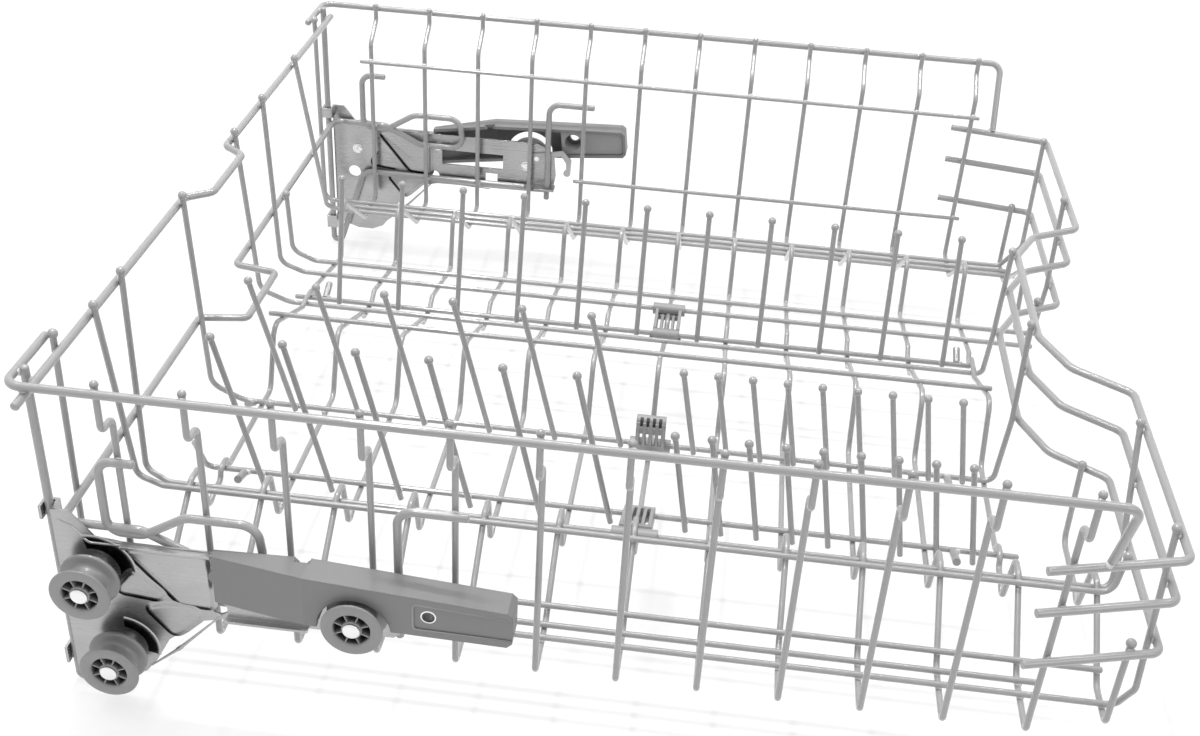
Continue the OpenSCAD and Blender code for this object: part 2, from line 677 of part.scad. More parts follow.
module lever_pivot_pin() {
  pin_y(lever_pivot, 1.9, 3.2, sheet_y + sheet_t - 3.2);
  pin_y(lever_pivot, 3, sheet_y + sheet_t, 0.9);
}

module near_lever_pin() color("white") place() lever_pivot_pin();

module far_lever_pin() color("white") place() far_side() lever_pivot_pin();

// Latch plate inside the carriage: hub, arm to the front and a curved finger
module latch() {
  c = latch_pivot;
  y = sheet_y + sheet_t + 0.2;
  difference() {
    union() {
      pin_y(c, 4.2, y, 1.3);
      slab([[119, -95.6], [141, -90.5], [147.5, -98], [147, -108], [143.8, -108], [143.4, -100.4],
        [139.6, -95], [121, -102.8]], y, 1.3);
      pin_y([144.4, -108.6], 2.6, y, 1.3);
    }
    pin_y(c, 1.9 + fit, y - 1, 4);
  }
}

module near_latch() color("silver") place() latch();

module far_latch() color("silver") place() far_side() latch();

module latch_pivot_pin() {
  pin_y(latch_pivot, 1.9, sheet_y - 0.4, sheet_t + 1.9);
  pin_y(latch_pivot, 2.6, sheet_y - 1.2, 0.8);
}

module near_latch_pin() color("white") place() latch_pivot_pin();

module far_latch_pin() color("white") place() far_side() latch_pivot_pin();

near_rim_wire();
far_rim_wire();
end_cross_wires();
rear_cross_wires();
front_cross_wires();
end_wires();
near_floor_wires();
near_hump_wires();
middle_base_wire();
slope_wire();
far_base_wire();
far_slope_wires();
far_floor_wires();
far_wall_wires();
front_bar_top();
front_bar_middle();
front_bar_low();
rear_rim_wire();
guide_wire();
near_post();
far_post();
near_front_hook();
far_front_hook();
middle_tall_tines();
middle_short_tines();
middle_stop_pins();
near_row_axle();
near_row_tall_tines();
near_row_short_tines();
near_row_pins();
far_row_axle();
far_row_tines();
far_row_pins();
near_clip();
middle_clip();
far_clip();
near_carriage();
near_axle_pins();
near_upper_roller();
near_lower_roller();
near_front_roller();
near_lever();
near_lever_pin();
near_latch();
near_latch_pin();
far_carriage();
far_axle_pins();
far_upper_roller();
far_lower_roller();
far_front_roller();
far_lever();
far_lever_pin();
far_latch();
far_latch_pin();
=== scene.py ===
import logging
import math
from dataclasses import dataclass, field
from enum import Enum
from typing import Callable, Iterable, Sequence

import bmesh
import bpy
import numpy as np
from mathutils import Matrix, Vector
from mathutils.bvhtree import BVHTree
from mathutils.geometry import tessellate_polygon


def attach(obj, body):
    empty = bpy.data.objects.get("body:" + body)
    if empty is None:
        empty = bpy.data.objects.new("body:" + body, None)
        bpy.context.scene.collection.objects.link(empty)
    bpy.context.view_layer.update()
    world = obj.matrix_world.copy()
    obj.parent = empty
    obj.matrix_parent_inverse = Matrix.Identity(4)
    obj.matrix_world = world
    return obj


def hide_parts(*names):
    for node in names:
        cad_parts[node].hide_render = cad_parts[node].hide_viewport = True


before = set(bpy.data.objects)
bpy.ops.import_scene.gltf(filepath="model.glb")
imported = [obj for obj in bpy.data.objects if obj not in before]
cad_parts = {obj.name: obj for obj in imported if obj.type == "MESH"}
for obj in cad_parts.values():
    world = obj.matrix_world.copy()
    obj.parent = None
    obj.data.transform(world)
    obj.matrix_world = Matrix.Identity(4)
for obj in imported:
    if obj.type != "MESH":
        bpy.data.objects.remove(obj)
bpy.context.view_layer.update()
MM = 0.001
log = logging.getLogger("rack")


class Side(Enum):
    """The two long sides of the rack, which are mirror images."""

    NEAR = "near"
    FAR = "far"


class Look(Enum):
    """The finishes of the rack's surfaces."""

    WIRE = "coated basket wire"
    TINE = "coated tine wire"
    # Weld beads are painted much lighter than the wire, as painted highlight on the weld fillets.
    WELD = "coating drawn over a weld"
    CLIP = "moulded clip"
    ROLLER = "moulded roller"
    LEVER = "moulded lever"
    SHEET = "pressed stainless sheet"
    PIN = "turned steel pin"


@dataclass(frozen=True)
class Datum:
    """Place of the rack's own origin, the near rear corner of its rim wire, in millimetres of the frame."""

    x: float = -221.475
    y: float = -253.2
    z: float = 183.43

    def place(self, points: np.ndarray, side: Side = Side.NEAR) -> np.ndarray:
        """Turns rack millimetres into frame metres.

        Args:
            points: Rows of x, y and z counted from the near rear rim corner.
            side: Which side of the rack they are for; the far side is mirrored.

        Returns:
            The same rows in metres of the frame.
        """
        placed = (points + np.array([self.x, self.y, self.z])) * MM
        if side is Side.FAR:
            placed = placed * np.array([1.0, -1.0, 1.0])
        return placed


DATUM = Datum()


class NodeSketch:
    """Small helper that adds and links shader nodes in one tree."""

    def __init__(self, tree: bpy.types.NodeTree) -> None:
        """Keeps the tree and empties it."""
        self.tree = tree
        tree.nodes.clear()

    def add(self, kind: str, inputs: dict | None = None, **settings) -> bpy.types.Node:
        """Adds one node.

        Args:
            kind: Blender's node type, without its ShaderNode prefix.
            inputs: Socket values, or other sockets to link, by name or index.
            settings: Properties of the node itself.

        Returns:
            The new node.
        """
        node = self.tree.nodes.new(kind if kind.startswith("Node") else "ShaderNode" + kind)
        for name, value in settings.items():
            setattr(node, name, value)
        for name, value in (inputs or {}).items():
            if isinstance(value, bpy.types.NodeSocket):
                self.tree.links.new(value, node.inputs[name])
            else:
                node.inputs[name].default_value = value
        return node

    def math(self, operation: str, first, second=0.0, clamp: bool = False) -> bpy.types.NodeSocket:
        """Adds a Math node and gives its output."""
        return self.add("Math", {0: first, 1: second}, operation=operation, use_clamp=clamp).outputs[0]

    def blend(self, factor, first, second, mode: str = "MIX") -> bpy.types.NodeSocket:
        """Adds a colour Mix node and gives its output."""
        mix = self.add("Mix", data_type="RGBA", blend_type=mode)
        for index, value in ((0, factor), (6, first), (7, second)):
            if isinstance(value, bpy.types.NodeSocket):
                self.tree.links.new(value, mix.inputs[index])
            else:
                mix.inputs[index].default_value = value
        return mix.outputs[2]

    def noise(self, vector, scale: float, detail: float = 2.0, rough: float = 0.5) -> bpy.types.NodeSocket:
        """Adds a Noise texture and gives its factor."""
        texture = self.add("TexNoise", {"Vector": vector, "Scale": scale, "Detail": detail, "Roughness": rough})
        return texture.outputs["Fac"]

    def ramp(self, value, low: float, high: float) -> bpy.types.NodeSocket:
        """Maps a value from low..high to 0..1, clamped."""
        ranged = self.add("MapRange", {"Value": value, "From Min": low, "From Max": high}, clamp=True)
        return ranged.outputs[0]


def grey(level: float) -> tuple[float, float, float, float]:
    """Linear colour of a grey whose display level is given from 0 to 255."""
    share = level / 255
    linear = share / 12.92 if share <= 0.04045 else ((share + 0.055) / 1.055) ** 2.4
    return (linear, linear, linear, 1.0)


class EffectGroup:
    """A shader node group with named inputs and outputs, built once and shared by the finishes."""

    def __init__(self, name: str, inputs: Sequence[tuple[str, str, object]], outputs: Sequence[tuple[str, str]],
                 draw: Callable[[NodeSketch, bpy.types.Node], dict]) -> None:
        """Builds the group.

        Args:
            name: Name of the group.
            inputs: Name, socket type and default of each input.
            outputs: Name and socket type of each output.
            draw: Adds the nodes and gives the socket for each output by name.
        """
        self.tree = bpy.data.node_groups.new(name, "ShaderNodeTree")
        sketch = NodeSketch(self.tree)
        for label, kind, default in inputs:
            socket = self.tree.interface.new_socket(label, in_out="INPUT", socket_type=kind)
            socket.default_value = default
        for label, kind in outputs:
            self.tree.interface.new_socket(label, in_out="OUTPUT", socket_type=kind)
        entry = sketch.add("NodeGroupInput")
        leave = sketch.add("NodeGroupOutput")
        for label, socket in draw(sketch, entry).items():
            self.tree.links.new(socket, leave.inputs[label])

    def use(self, sketch: NodeSketch, inputs: dict) -> bpy.types.Node:
        """Places the group in a material with its own values."""
        node = sketch.add("Group", node_tree=self.tree)
        for name, value in inputs.items():
            if isinstance(value, bpy.types.NodeSocket):
                sketch.tree.links.new(value, node.inputs[name])
            else:
                node.inputs[name].default_value = value
        return node


def draw_mottle(sketch: NodeSketch, entry: bpy.types.Node) -> dict:
    """Cloudy tone, sheen and fine lumps of a sprayed or moulded surface."""
    place = sketch.add("TexCoord").outputs["Object"]
    cloud = sketch.noise(place, 45.0, 3.0)
    patch = sketch.noise(place, 260.0, 2.0)
    fine = sketch.add("TexNoise", {"Vector": place, "Scale": entry.outputs["Grain Scale"], "Detail": 2.0})
    mixed = sketch.math("ADD", sketch.math("MULTIPLY", cloud, 0.65), sketch.math("MULTIPLY", patch, 0.35))
    swing = sketch.math("MULTIPLY", sketch.math("SUBTRACT", mixed, 0.5), entry.outputs["Mottle"])
    level = sketch.math("ADD", 1.0, swing)
    tinted = sketch.blend(1.0, entry.outputs["Color"], level, "MULTIPLY")
    rough = sketch.math("ADD", entry.outputs["Roughness"], sketch.math("MULTIPLY", swing, 0.8))
    speckle = sketch.math("MULTIPLY", sketch.math("SUBTRACT", fine.outputs["Fac"], 0.5), 0.12)
    height = sketch.math("ADD", fine.outputs["Fac"], sketch.math("MULTIPLY", patch, 0.8))
    return {"Color": tinted, "Roughness": sketch.math("ADD", rough, speckle, True), "Height": height}


def draw_painted_shade(sketch: NodeSketch, entry: bpy.types.Node) -> dict:
    """Painted shade and painted dark reflection in grooves, deep corners and pressed flanks, from the tone that the
    mesh carries at each point.
    """
    tone = sketch.add("Attribute", attribute_name="tone").outputs["Fac"]
    place = sketch.add("TexCoord").outputs["Object"]
    ragged = sketch.math("MULTIPLY", sketch.math("SUBTRACT", sketch.noise(place, 420.0, 3.0), 0.5), 0.25)
    masked = sketch.math("MULTIPLY", sketch.math("ADD", tone, sketch.math("MULTIPLY", ragged, tone)), 1.0, True)
    fade = sketch.math("MULTIPLY", masked, entry.outputs["Depth"], True)
    dark = sketch.blend(fade, entry.outputs["Color"], entry.outputs["Shade"])
    return {"Color": dark, "Mask": masked}


def draw_brushing(sketch: NodeSketch, entry: bpy.types.Node) -> dict:
    """Rolled grain, cloudy patches and hairline scratches of stainless sheet."""
    place = sketch.add("TexCoord").outputs["Object"]
    along = sketch.add("Mapping", {"Vector": place, "Scale": (14.0, 900.0, 900.0)}).outputs[0]
    grain = sketch.noise(along, 1.0, 4.0, 0.6)
    tilted = sketch.add("Mapping", {"Vector": place, "Rotation": (0.0, 0.62, 0.2), "Scale": (30.0, 1400.0, 1400.0)})
    scratch = sketch.ramp(sketch.noise(tilted.outputs[0], 1.0, 2.0), 0.66, 0.72)
    cloud = sketch.noise(place, 38.0, 3.0)
    swing = sketch.math("MULTIPLY", sketch.math("SUBTRACT", grain, 0.5), entry.outputs["Grain"])
    patches = sketch.math("MULTIPLY", sketch.math("SUBTRACT", cloud, 0.5), entry.outputs["Patches"])
    level = sketch.math("ADD", sketch.math("ADD", 1.0, swing), patches)
    tinted = sketch.blend(1.0, entry.outputs["Color"], level, "MULTIPLY")
    rough = sketch.math("ADD", entry.outputs["Roughness"], sketch.math("MULTIPLY", swing, 0.5))
    marked = sketch.math("ADD", rough, sketch.math("MULTIPLY", scratch, 0.08), True)
    height = sketch.math("SUBTRACT", grain, sketch.math("MULTIPLY", scratch, 0.6))
    return {"Color": tinted, "Roughness": marked, "Height": height}


MOTTLE = EffectGroup(
    "mottled_surface",
    [("Color", "NodeSocketColor", (0.5, 0.5, 0.5, 1.0)), ("Roughness", "NodeSocketFloat", 0.4),
     ("Mottle", "NodeSocketFloat", 0.1), ("Grain Scale", "NodeSocketFloat", 1500.0)],
    [("Color", "NodeSocketColor"), ("Roughness", "NodeSocketFloat"), ("Height", "NodeSocketFloat")],
    draw_mottle)
PAINTED_SHADE = EffectGroup(
    "painted_shade_of_hollows",
    [("Color", "NodeSocketColor", (0.5, 0.5, 0.5, 1.0)), ("Shade", "NodeSocketColor", (0.01, 0.01, 0.01, 1.0)),
     ("Depth", "NodeSocketFloat", 1.0)],
    [("Color", "NodeSocketColor"), ("Mask", "NodeSocketFloat")],
    draw_painted_shade)
BRUSHING = EffectGroup(
    "rolled_sheet_grain",
    [("Color", "NodeSocketColor", (0.5, 0.5, 0.5, 1.0)), ("Roughness", "NodeSocketFloat", 0.3),
     ("Grain", "NodeSocketFloat", 0.1), ("Patches", "NodeSocketFloat", 0.1)],
    [("Color", "NodeSocketColor"), ("Roughness", "NodeSocketFloat"), ("Height", "NodeSocketFloat")],
    draw_brushing)


def worn_bump(sketch: NodeSketch, height: bpy.types.NodeSocket, lump: float,
              edge_mm: float) -> bpy.types.NodeSocket:
    """Adds fine lumps, and rounds the look of sharp edges where edge_mm isn't 0.

    Args:
        sketch: The material's node sketch.
        height: Height of the lumps.
        lump: How strong they are.
        edge_mm: Radius that sharp edges seem to have.

    Returns:
        The normal for the shader.
    """
    inputs = {"Height": height, "Strength": lump, "Distance": MM}
    if edge_mm:
        inputs["Normal"] = sketch.add("Bevel", {"Radius": edge_mm * MM}, samples=4).outputs[0]
    return sketch.add("Bump", inputs).outputs[0]


@dataclass(frozen=True)
class CoatingFinish:
    """Sprayed or moulded plastic: coated wire, clips, levers and rollers."""

    name: str
    slot: str
    level: float
    roughness: float
    mottle: float = 0.10
    grain_scale: float = 1500.0
    lump: float = 0.05
    coat: float = 0.0
    edge_mm: float = 0.0
    # shade_level and depth set the colour and strength of the painted shade in hollows.
    shade_level: float = 22.0
    depth: float = 0.95

    def make(self) -> bpy.types.Material:
        """Builds the material."""
        material = bpy.data.materials.new(self.name)
        material.use_nodes = True
        sketch = NodeSketch(material.node_tree)
        surface = MOTTLE.use(sketch, {"Color": grey(self.level), "Roughness": self.roughness,
                                      "Mottle": self.mottle, "Grain Scale": self.grain_scale})
        hollow = PAINTED_SHADE.use(sketch, {"Color": surface.outputs["Color"], "Shade": grey(self.shade_level),
                                     "Depth": self.depth})
        bump = worn_bump(sketch, surface.outputs["Height"], self.lump, self.edge_mm)
        shader = sketch.add("BsdfPrincipled", {
            "Base Color": hollow.outputs["Color"], "Roughness": surface.outputs["Roughness"],
            "Normal": bump, "IOR": 1.5, "Coat Weight": self.coat, "Coat Roughness": 0.1})
        sketch.add("OutputMaterial", {"Surface": shader.outputs[0]})
        return material


@dataclass(frozen=True)
class SteelFinish:
    """Bare stainless steel: pressed sheet, latches and pins."""

    name: str
    slot: str
    level: float
    roughness: float
    grain: float = 0.12
    patches: float = 0.10
    lump: float = 0.03
    edge_mm: float = 0.0
    # shade_level is the colour of the painted shade and dark reflection in hollows and on flanks.
    shade_level: float = 18.0

    def make(self) -> bpy.types.Material:
        """Builds the material."""
        material = bpy.data.materials.new(self.name)
        material.use_nodes = True
        sketch = NodeSketch(material.node_tree)
        surface = BRUSHING.use(sketch, {"Color": grey(self.level), "Roughness": self.roughness,
                                        "Grain": self.grain, "Patches": self.patches})
        hollow = PAINTED_SHADE.use(sketch, {"Color": surface.outputs["Color"], "Shade": grey(self.shade_level),
                                     "Depth": 1.0})
        bump = worn_bump(sketch, surface.outputs["Height"], self.lump, self.edge_mm)
        shader = sketch.add("BsdfPrincipled", {
            "Base Color": hollow.outputs["Color"], "Roughness": surface.outputs["Roughness"],
            "Normal": bump, "Metallic": 1.0})
        sketch.add("OutputMaterial", {"Surface": shader.outputs[0]})
        return material


class Finishes:
    """The rack's finishes, each made once when it is first asked for."""

    def __init__(self) -> None:
        """Lists the finishes by the look that they give."""
        self.plans = {
            Look.WIRE: CoatingFinish("wire_coating", "wire_coating", 147, 0.32, 0.08, 1300, 0.06, coat=0.9),
            Look.TINE: CoatingFinish("tine_coating", "tine_coating", 143, 0.32, 0.08, 1300, 0.06, coat=0.9),
            # The weld coating is painted lighter than the wire (196 against 147), as painted highlight on the bead
            # fillets.
            Look.WELD: CoatingFinish("weld_coating_painted_highlight", "wire_coating", 196, 0.22, 0.08, 1500, 0.10, coat=0.9),
            Look.CLIP: CoatingFinish("clip_plastic", "clip_plastic", 142, 0.40, 0.10, 2600, 0.05, edge_mm=0.4),
            Look.ROLLER: CoatingFinish("roller_plastic", "roller_plastic", 132, 0.36, 0.09, 2200, 0.04, coat=0.4),
            Look.LEVER: CoatingFinish("lever_plastic", "lever_plastic", 121, 0.44, 0.07, 3200, 0.06, edge_mm=0.7),
            Look.SHEET: SteelFinish("stainless_sheet", "stainless_sheet", 176, 0.28, 0.16, 0.45, edge_mm=0.3),
            Look.PIN: SteelFinish("pin_steel", "pin_steel", 235, 0.16, 0.05, 0.05, 0.02),
        }
        self.made: dict[Look, bpy.types.Material] = {}

    def get(self, look: Look) -> bpy.types.Material:
        """Gives the material of a look."""
        if look not in self.made:
            self.made[look] = self.plans[look].make()
        return self.made[look]

    def dress(self, piece: bpy.types.Object, look: Look) -> None:
        """Puts a finish on a piece or CAD node."""
        piece.data.materials.clear()
        piece.data.materials.append(self.get(look))


FINISHES = Finishes()


def soften(corners: np.ndarray, radius: float, closed: bool = True, steps: int = 6) -> np.ndarray:
    """Rounds the corners of a path of x and z.

    Args:
        corners: Rows of x and z.
        radius: How far from each corner the round starts.
        closed: Whether the path is a loop.
        steps: Points on each round.

    Returns:
        Rows of x and z along the rounded path.
    """
    count = len(corners)
    points = [] if closed else [corners[0]]
    for i in range(count) if closed else range(1, count - 1):
        here = corners[i]
        back, ahead = corners[i - 1] - here, corners[(i + 1) % count] - here
        far_back, far_ahead = np.linalg.norm(back), np.linalg.norm(ahead)
        cut = min(radius, 0.4 * far_back, 0.4 * far_ahead)
        start, end = here + back / far_back * cut, here + ahead / far_ahead * cut
        for t in np.linspace(0, 1, steps):
            points.append((1 - t) ** 2 * start + 2 * t * (1 - t) * here + t * t * end)
    if not closed:
        points.append(corners[-1])
    return np.array(points)


@dataclass
class Shape:
    """A mesh being grown, in rack millimetres, with a tone of painted shade from 0 to 1 at each point."""

    points: list = field(default_factory=list)
    faces: list = field(default_factory=list)
    tones: list = field(default_factory=list)
    count: int = 0

    def add(self, points: np.ndarray, faces: Iterable[Sequence[int]], tone=0.0) -> None:
        """Adds points and the faces that index them.

        Args:
            points: Rows of x, y and z.
            faces: Corner indices, counted within these points.
            tone: Painted shade, one tone for all, or one for each point.
        """
        self.points.append(np.asarray(points, float))
        self.faces.extend([tuple(i + self.count for i in f) for f in faces])
        self.tones.append(np.broadcast_to(np.asarray(tone, float), (len(points),)))
        self.count += len(points)

    def grid(self, rows: np.ndarray, tone=0.0, wrap_rows: bool = False, wrap_ring: bool = True,
             caps: bool = False) -> None:
        """Adds a surface through rings of points.

        Args:
            rows: Array of rings, each a row of points.
            tone: Painted shade, one tone, or one for each ring and point.
            wrap_rows: Whether the last ring joins the first.
            wrap_ring: Whether each ring is closed.
            caps: Whether the first and last ring are closed by a face.
        """
        m, n = rows.shape[:2]
        faces = []
        for i in range(m if wrap_rows else m - 1):
            for k in range(n if wrap_ring else n - 1):
                a, b = i * n + k, i * n + (k + 1) % n
                c, d = ((i + 1) % m) * n + (k + 1) % n, ((i + 1) % m) * n + k
                faces.append((a, b, c, d))
        if caps:
            faces.append(tuple(range(n))[::-1])
            faces.append(tuple((m - 1) * n + k for k in range(n)))
        flat = np.broadcast_to(np.asarray(tone, float), (m, n)).reshape(-1)
        self.add(rows.reshape(-1, 3), faces, flat)

    def turn(self, profile: Sequence[tuple[float, float, float]], centre: tuple[float, float],
             steps: int = 56, closed: bool = False) -> None:
        """Adds a body turned about an axis along y.

        Args:
            profile: Radius, y and painted-shade tone of each corner of the section.
            centre: x and z of the axis.
            steps: Facets round the axis.
            closed: Whether the section is a closed loop.
        """
        angles = np.linspace(0, 2 * math.pi, steps, endpoint=False)
        rows, tones = [], []
        for radius, y, tone in profile:
            ring = np.stack([centre[0] + radius * np.cos(angles), np.full(steps, y),
                             centre[1] + radius * np.sin(angles)], axis=1)
            rows.append(ring)
            tones.append(np.full(steps, tone))
        self.grid(np.array(rows), np.array(tones), wrap_rows=closed)

    def sweep(self, path: Sequence[Sequence[float]], radius: float, y: float, tone: float = 0.0,
              flat: float = 0.7, closed: bool = False) -> None:
        """Adds a round bead along a path in a plane of equal y.

        Args:
            path: x and z of its corners, which are rounded a little.
            radius: Radius of the bead.
            y: Plane of its middle.
            tone: Its painted shade.
            flat: Its thickness over its width.
            closed: Whether the path is a loop.
        """
        line = soften(np.array(path, float), 2.2, closed)
        along = np.roll(line, -1, axis=0) - np.roll(line, 1, axis=0) if closed else np.gradient(line, axis=0)
        along /= np.linalg.norm(along, axis=1, keepdims=True)
        across = np.stack([along[:, 1], -along[:, 0]], axis=1)
        angles = np.linspace(0, 2 * math.pi, 12, endpoint=False)
        ends = np.minimum(np.arange(len(line)), np.arange(len(line))[::-1])
        width = np.ones(len(line)) if closed else np.minimum(1.0, 0.35 + 0.4 * ends)
        rows = []
        for place, normal, share in zip(line, across, width):
            flatwise = place + normal * np.cos(angles)[:, None] * radius * share
            depth = y + np.sin(angles) * radius * share * flat
            rows.append(np.stack([flatwise[:, 0], depth, flatwise[:, 1]], axis=1))
        self.grid(np.array(rows), tone, wrap_rows=closed, caps=not closed)

    def finish(self, name: str, body: str, look: Look, side: Side = Side.NEAR, sharp: float = 38.0,
               replaces: Sequence[str] = ()) -> bpy.types.Object:
        """Makes the Blender object.

        Args:
            name: Name of the piece.
            body: CAD body that it rides on.
            look: Its finish.
            side: Side of the rack; the far side is mirrored.
            sharp: Angle in degrees above which an edge stays sharp.
            replaces: CAD nodes that it stands for.

        Returns:
            The new object.
        """
        mesh = bpy.data.meshes.new(name)
        placed = DATUM.place(np.concatenate(self.points), side)
        mesh.from_pydata(placed.tolist(), [], self.faces)
        # The tone attribute is painted shade, by which the painted shade group darkens the colour.
        shade = mesh.attributes.new("tone", "FLOAT", "POINT")
        shade.data.foreach_set("value", np.concatenate(self.tones).astype(np.float32))
        return settle(mesh, name, body, look, sharp, replaces)


def settle(mesh: bpy.types.Mesh, name: str, body: str, look: Look, sharp: float,
           replaces: Sequence[str] = ()) -> bpy.types.Object:
    """Cleans a mesh, turns its faces outwards, and makes it a dressed piece that rides on its body."""
    work = bmesh.new()
    work.from_mesh(mesh)
    bmesh.ops.remove_doubles(work, verts=work.verts, dist=0.004 * MM)
    bmesh.ops.recalc_face_normals(work, faces=work.faces)
    work.to_mesh(mesh)
    work.free()
    mesh.shade_smooth()
    mesh.set_sharp_from_angle(angle=math.radians(sharp))
    piece = bpy.data.objects.new(name, mesh)
    bpy.context.scene.collection.objects.link(piece)
    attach(piece, body)
    FINISHES.dress(piece, look)
    if replaces:
        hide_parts(*replaces)
    log.info("%s: %d faces, on %s", name, len(mesh.polygons), body)
    return piece


@dataclass(frozen=True)
class Touch:
    """A place where two welded wires touch: the point, and the direction from one wire to the other."""

    place: np.ndarray
    normal: np.ndarray


@dataclass
class WireMesh:
    """Corners, triangles and search tree of one wire node, in metres of the frame."""

    name: str
    sample_step: float = 2.2 * MM
    reach: float = 0.9 * MM
    touch_gap: float = 0.16 * MM
    cell: float = 3.0 * MM

    def __post_init__(self) -> None:
        """Reads the node's mesh."""
        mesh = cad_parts[self.name].data
        self.corners = np.zeros(len(mesh.vertices) * 3, np.float32)
        mesh.vertices.foreach_get("co", self.corners)
        self.corners = self.corners.reshape(-1, 3).astype(float)
        mesh.calc_loop_triangles()
        self.triangles = np.zeros(len(mesh.loop_triangles) * 3, np.int32)
        mesh.loop_triangles.foreach_get("vertices", self.triangles)
        self.triangles = self.triangles.reshape(-1, 3)
        self.tree = BVHTree.FromPolygons(self.corners.tolist(), self.triangles.tolist())
        self.low, self.high = self.corners.min(axis=0), self.corners.max(axis=0)
        self.spread = self.samples()

    def samples(self) -> np.ndarray:
        """Gives points spread over the surface, along the triangles' sides."""
        sides = np.unique(np.sort(self.triangles[:, :2], axis=1), axis=0)[::2]
        start, end = self.corners[sides[:, 0]], self.corners[sides[:, 1]]
        parts = np.ceil(np.linalg.norm(end - start, axis=1) / self.sample_step).astype(int)
        found = [start[::3]]
        for n in np.unique(parts[parts > 1]):
            chosen = parts == n
            for k in range(n):
                share = (k + 0.5) / n
                found.append(start[chosen] * (1 - share) + end[chosen] * share)
        return np.concatenate(found)

    def touches(self, other: "WireMesh") -> list[Touch]:
        """Finds where this node and another one touch.

        Args:
            other: The other wire node.

        Returns:
            One entry for each place.
        """
        near = self.reach
        points = self.spread
        inside = np.all((points > other.low - near) & (points < other.high + near), axis=1)
        best: dict[tuple, tuple[float, Vector]] = {}
        for point in points[inside]:
            hit = other.tree.find_nearest(Vector(point), near)
            if hit[0] is None:
                continue
            key = tuple(np.round(np.array(hit[0]) / self.cell).astype(int))
            if key not in best or hit[3] < best[key][0]:
                best[key] = (hit[3], hit[0])
        found: list[Touch] = []
        for _, on_other in best.values():
            for _ in range(8):
                on_self, normal = self.tree.find_nearest(on_other)[:2]
                on_other = other.tree.find_nearest(on_self)[0]
            middle = np.array(on_self + on_other) / 2
            apart = all(np.linalg.norm(middle - t.place) > 2.5 * self.cell for t in found)
            if (on_self - on_other).length < self.touch_gap and apart:
                found.append(Touch(middle, np.array(normal)))
        return found

    def round_ends(self) -> list[tuple[np.ndarray, np.ndarray, float]]:
        """Finds the flat round faces at which wires end: centre, outward normal and radius."""
        corner = self.corners[self.triangles]
        normal = np.cross(corner[:, 1] - corner[:, 0], corner[:, 2] - corner[:, 0])
        normal /= np.maximum(np.linalg.norm(normal, axis=1, keepdims=True), 1e-12)
        offset = np.sum(normal * corner[:, 0], axis=1, keepdims=True)
        keys = np.concatenate([np.round(normal, 2), np.round(offset / (0.02 * MM)) * 0.02], axis=1)
        _, group = np.unique(keys, axis=0, return_inverse=True)
        group = group.reshape(-1)
        order = np.argsort(group, kind="stable")
        starts = np.flatnonzero(np.diff(group[order], prepend=-1))
        ends = []
        for members in np.split(order, starts[1:]):
            rim = self.corners[np.unique(self.triangles[members])]
            if len(members) < 12:
                continue
            for ring in self.apart(rim):
                centre = ring.mean(axis=0)
                radii = np.linalg.norm(ring - centre, axis=1)
                if len(ring) > 11 and 1.1 * MM < radii.mean() < 2.4 * MM and np.ptp(radii) < 0.12 * MM:
                    ends.append((centre, normal[members].mean(axis=0), float(radii.mean())))
        return ends

    @staticmethod
    def apart(points: np.ndarray) -> list[np.ndarray]:
        """Splits coplanar points into clumps that lie more than 6 mm apart."""
        clumps = []
        while len(points):
            close = np.linalg.norm(points - points[0], axis=1) < 6 * MM
            clumps.append(points[close])
            points = points[~close]
        return clumps


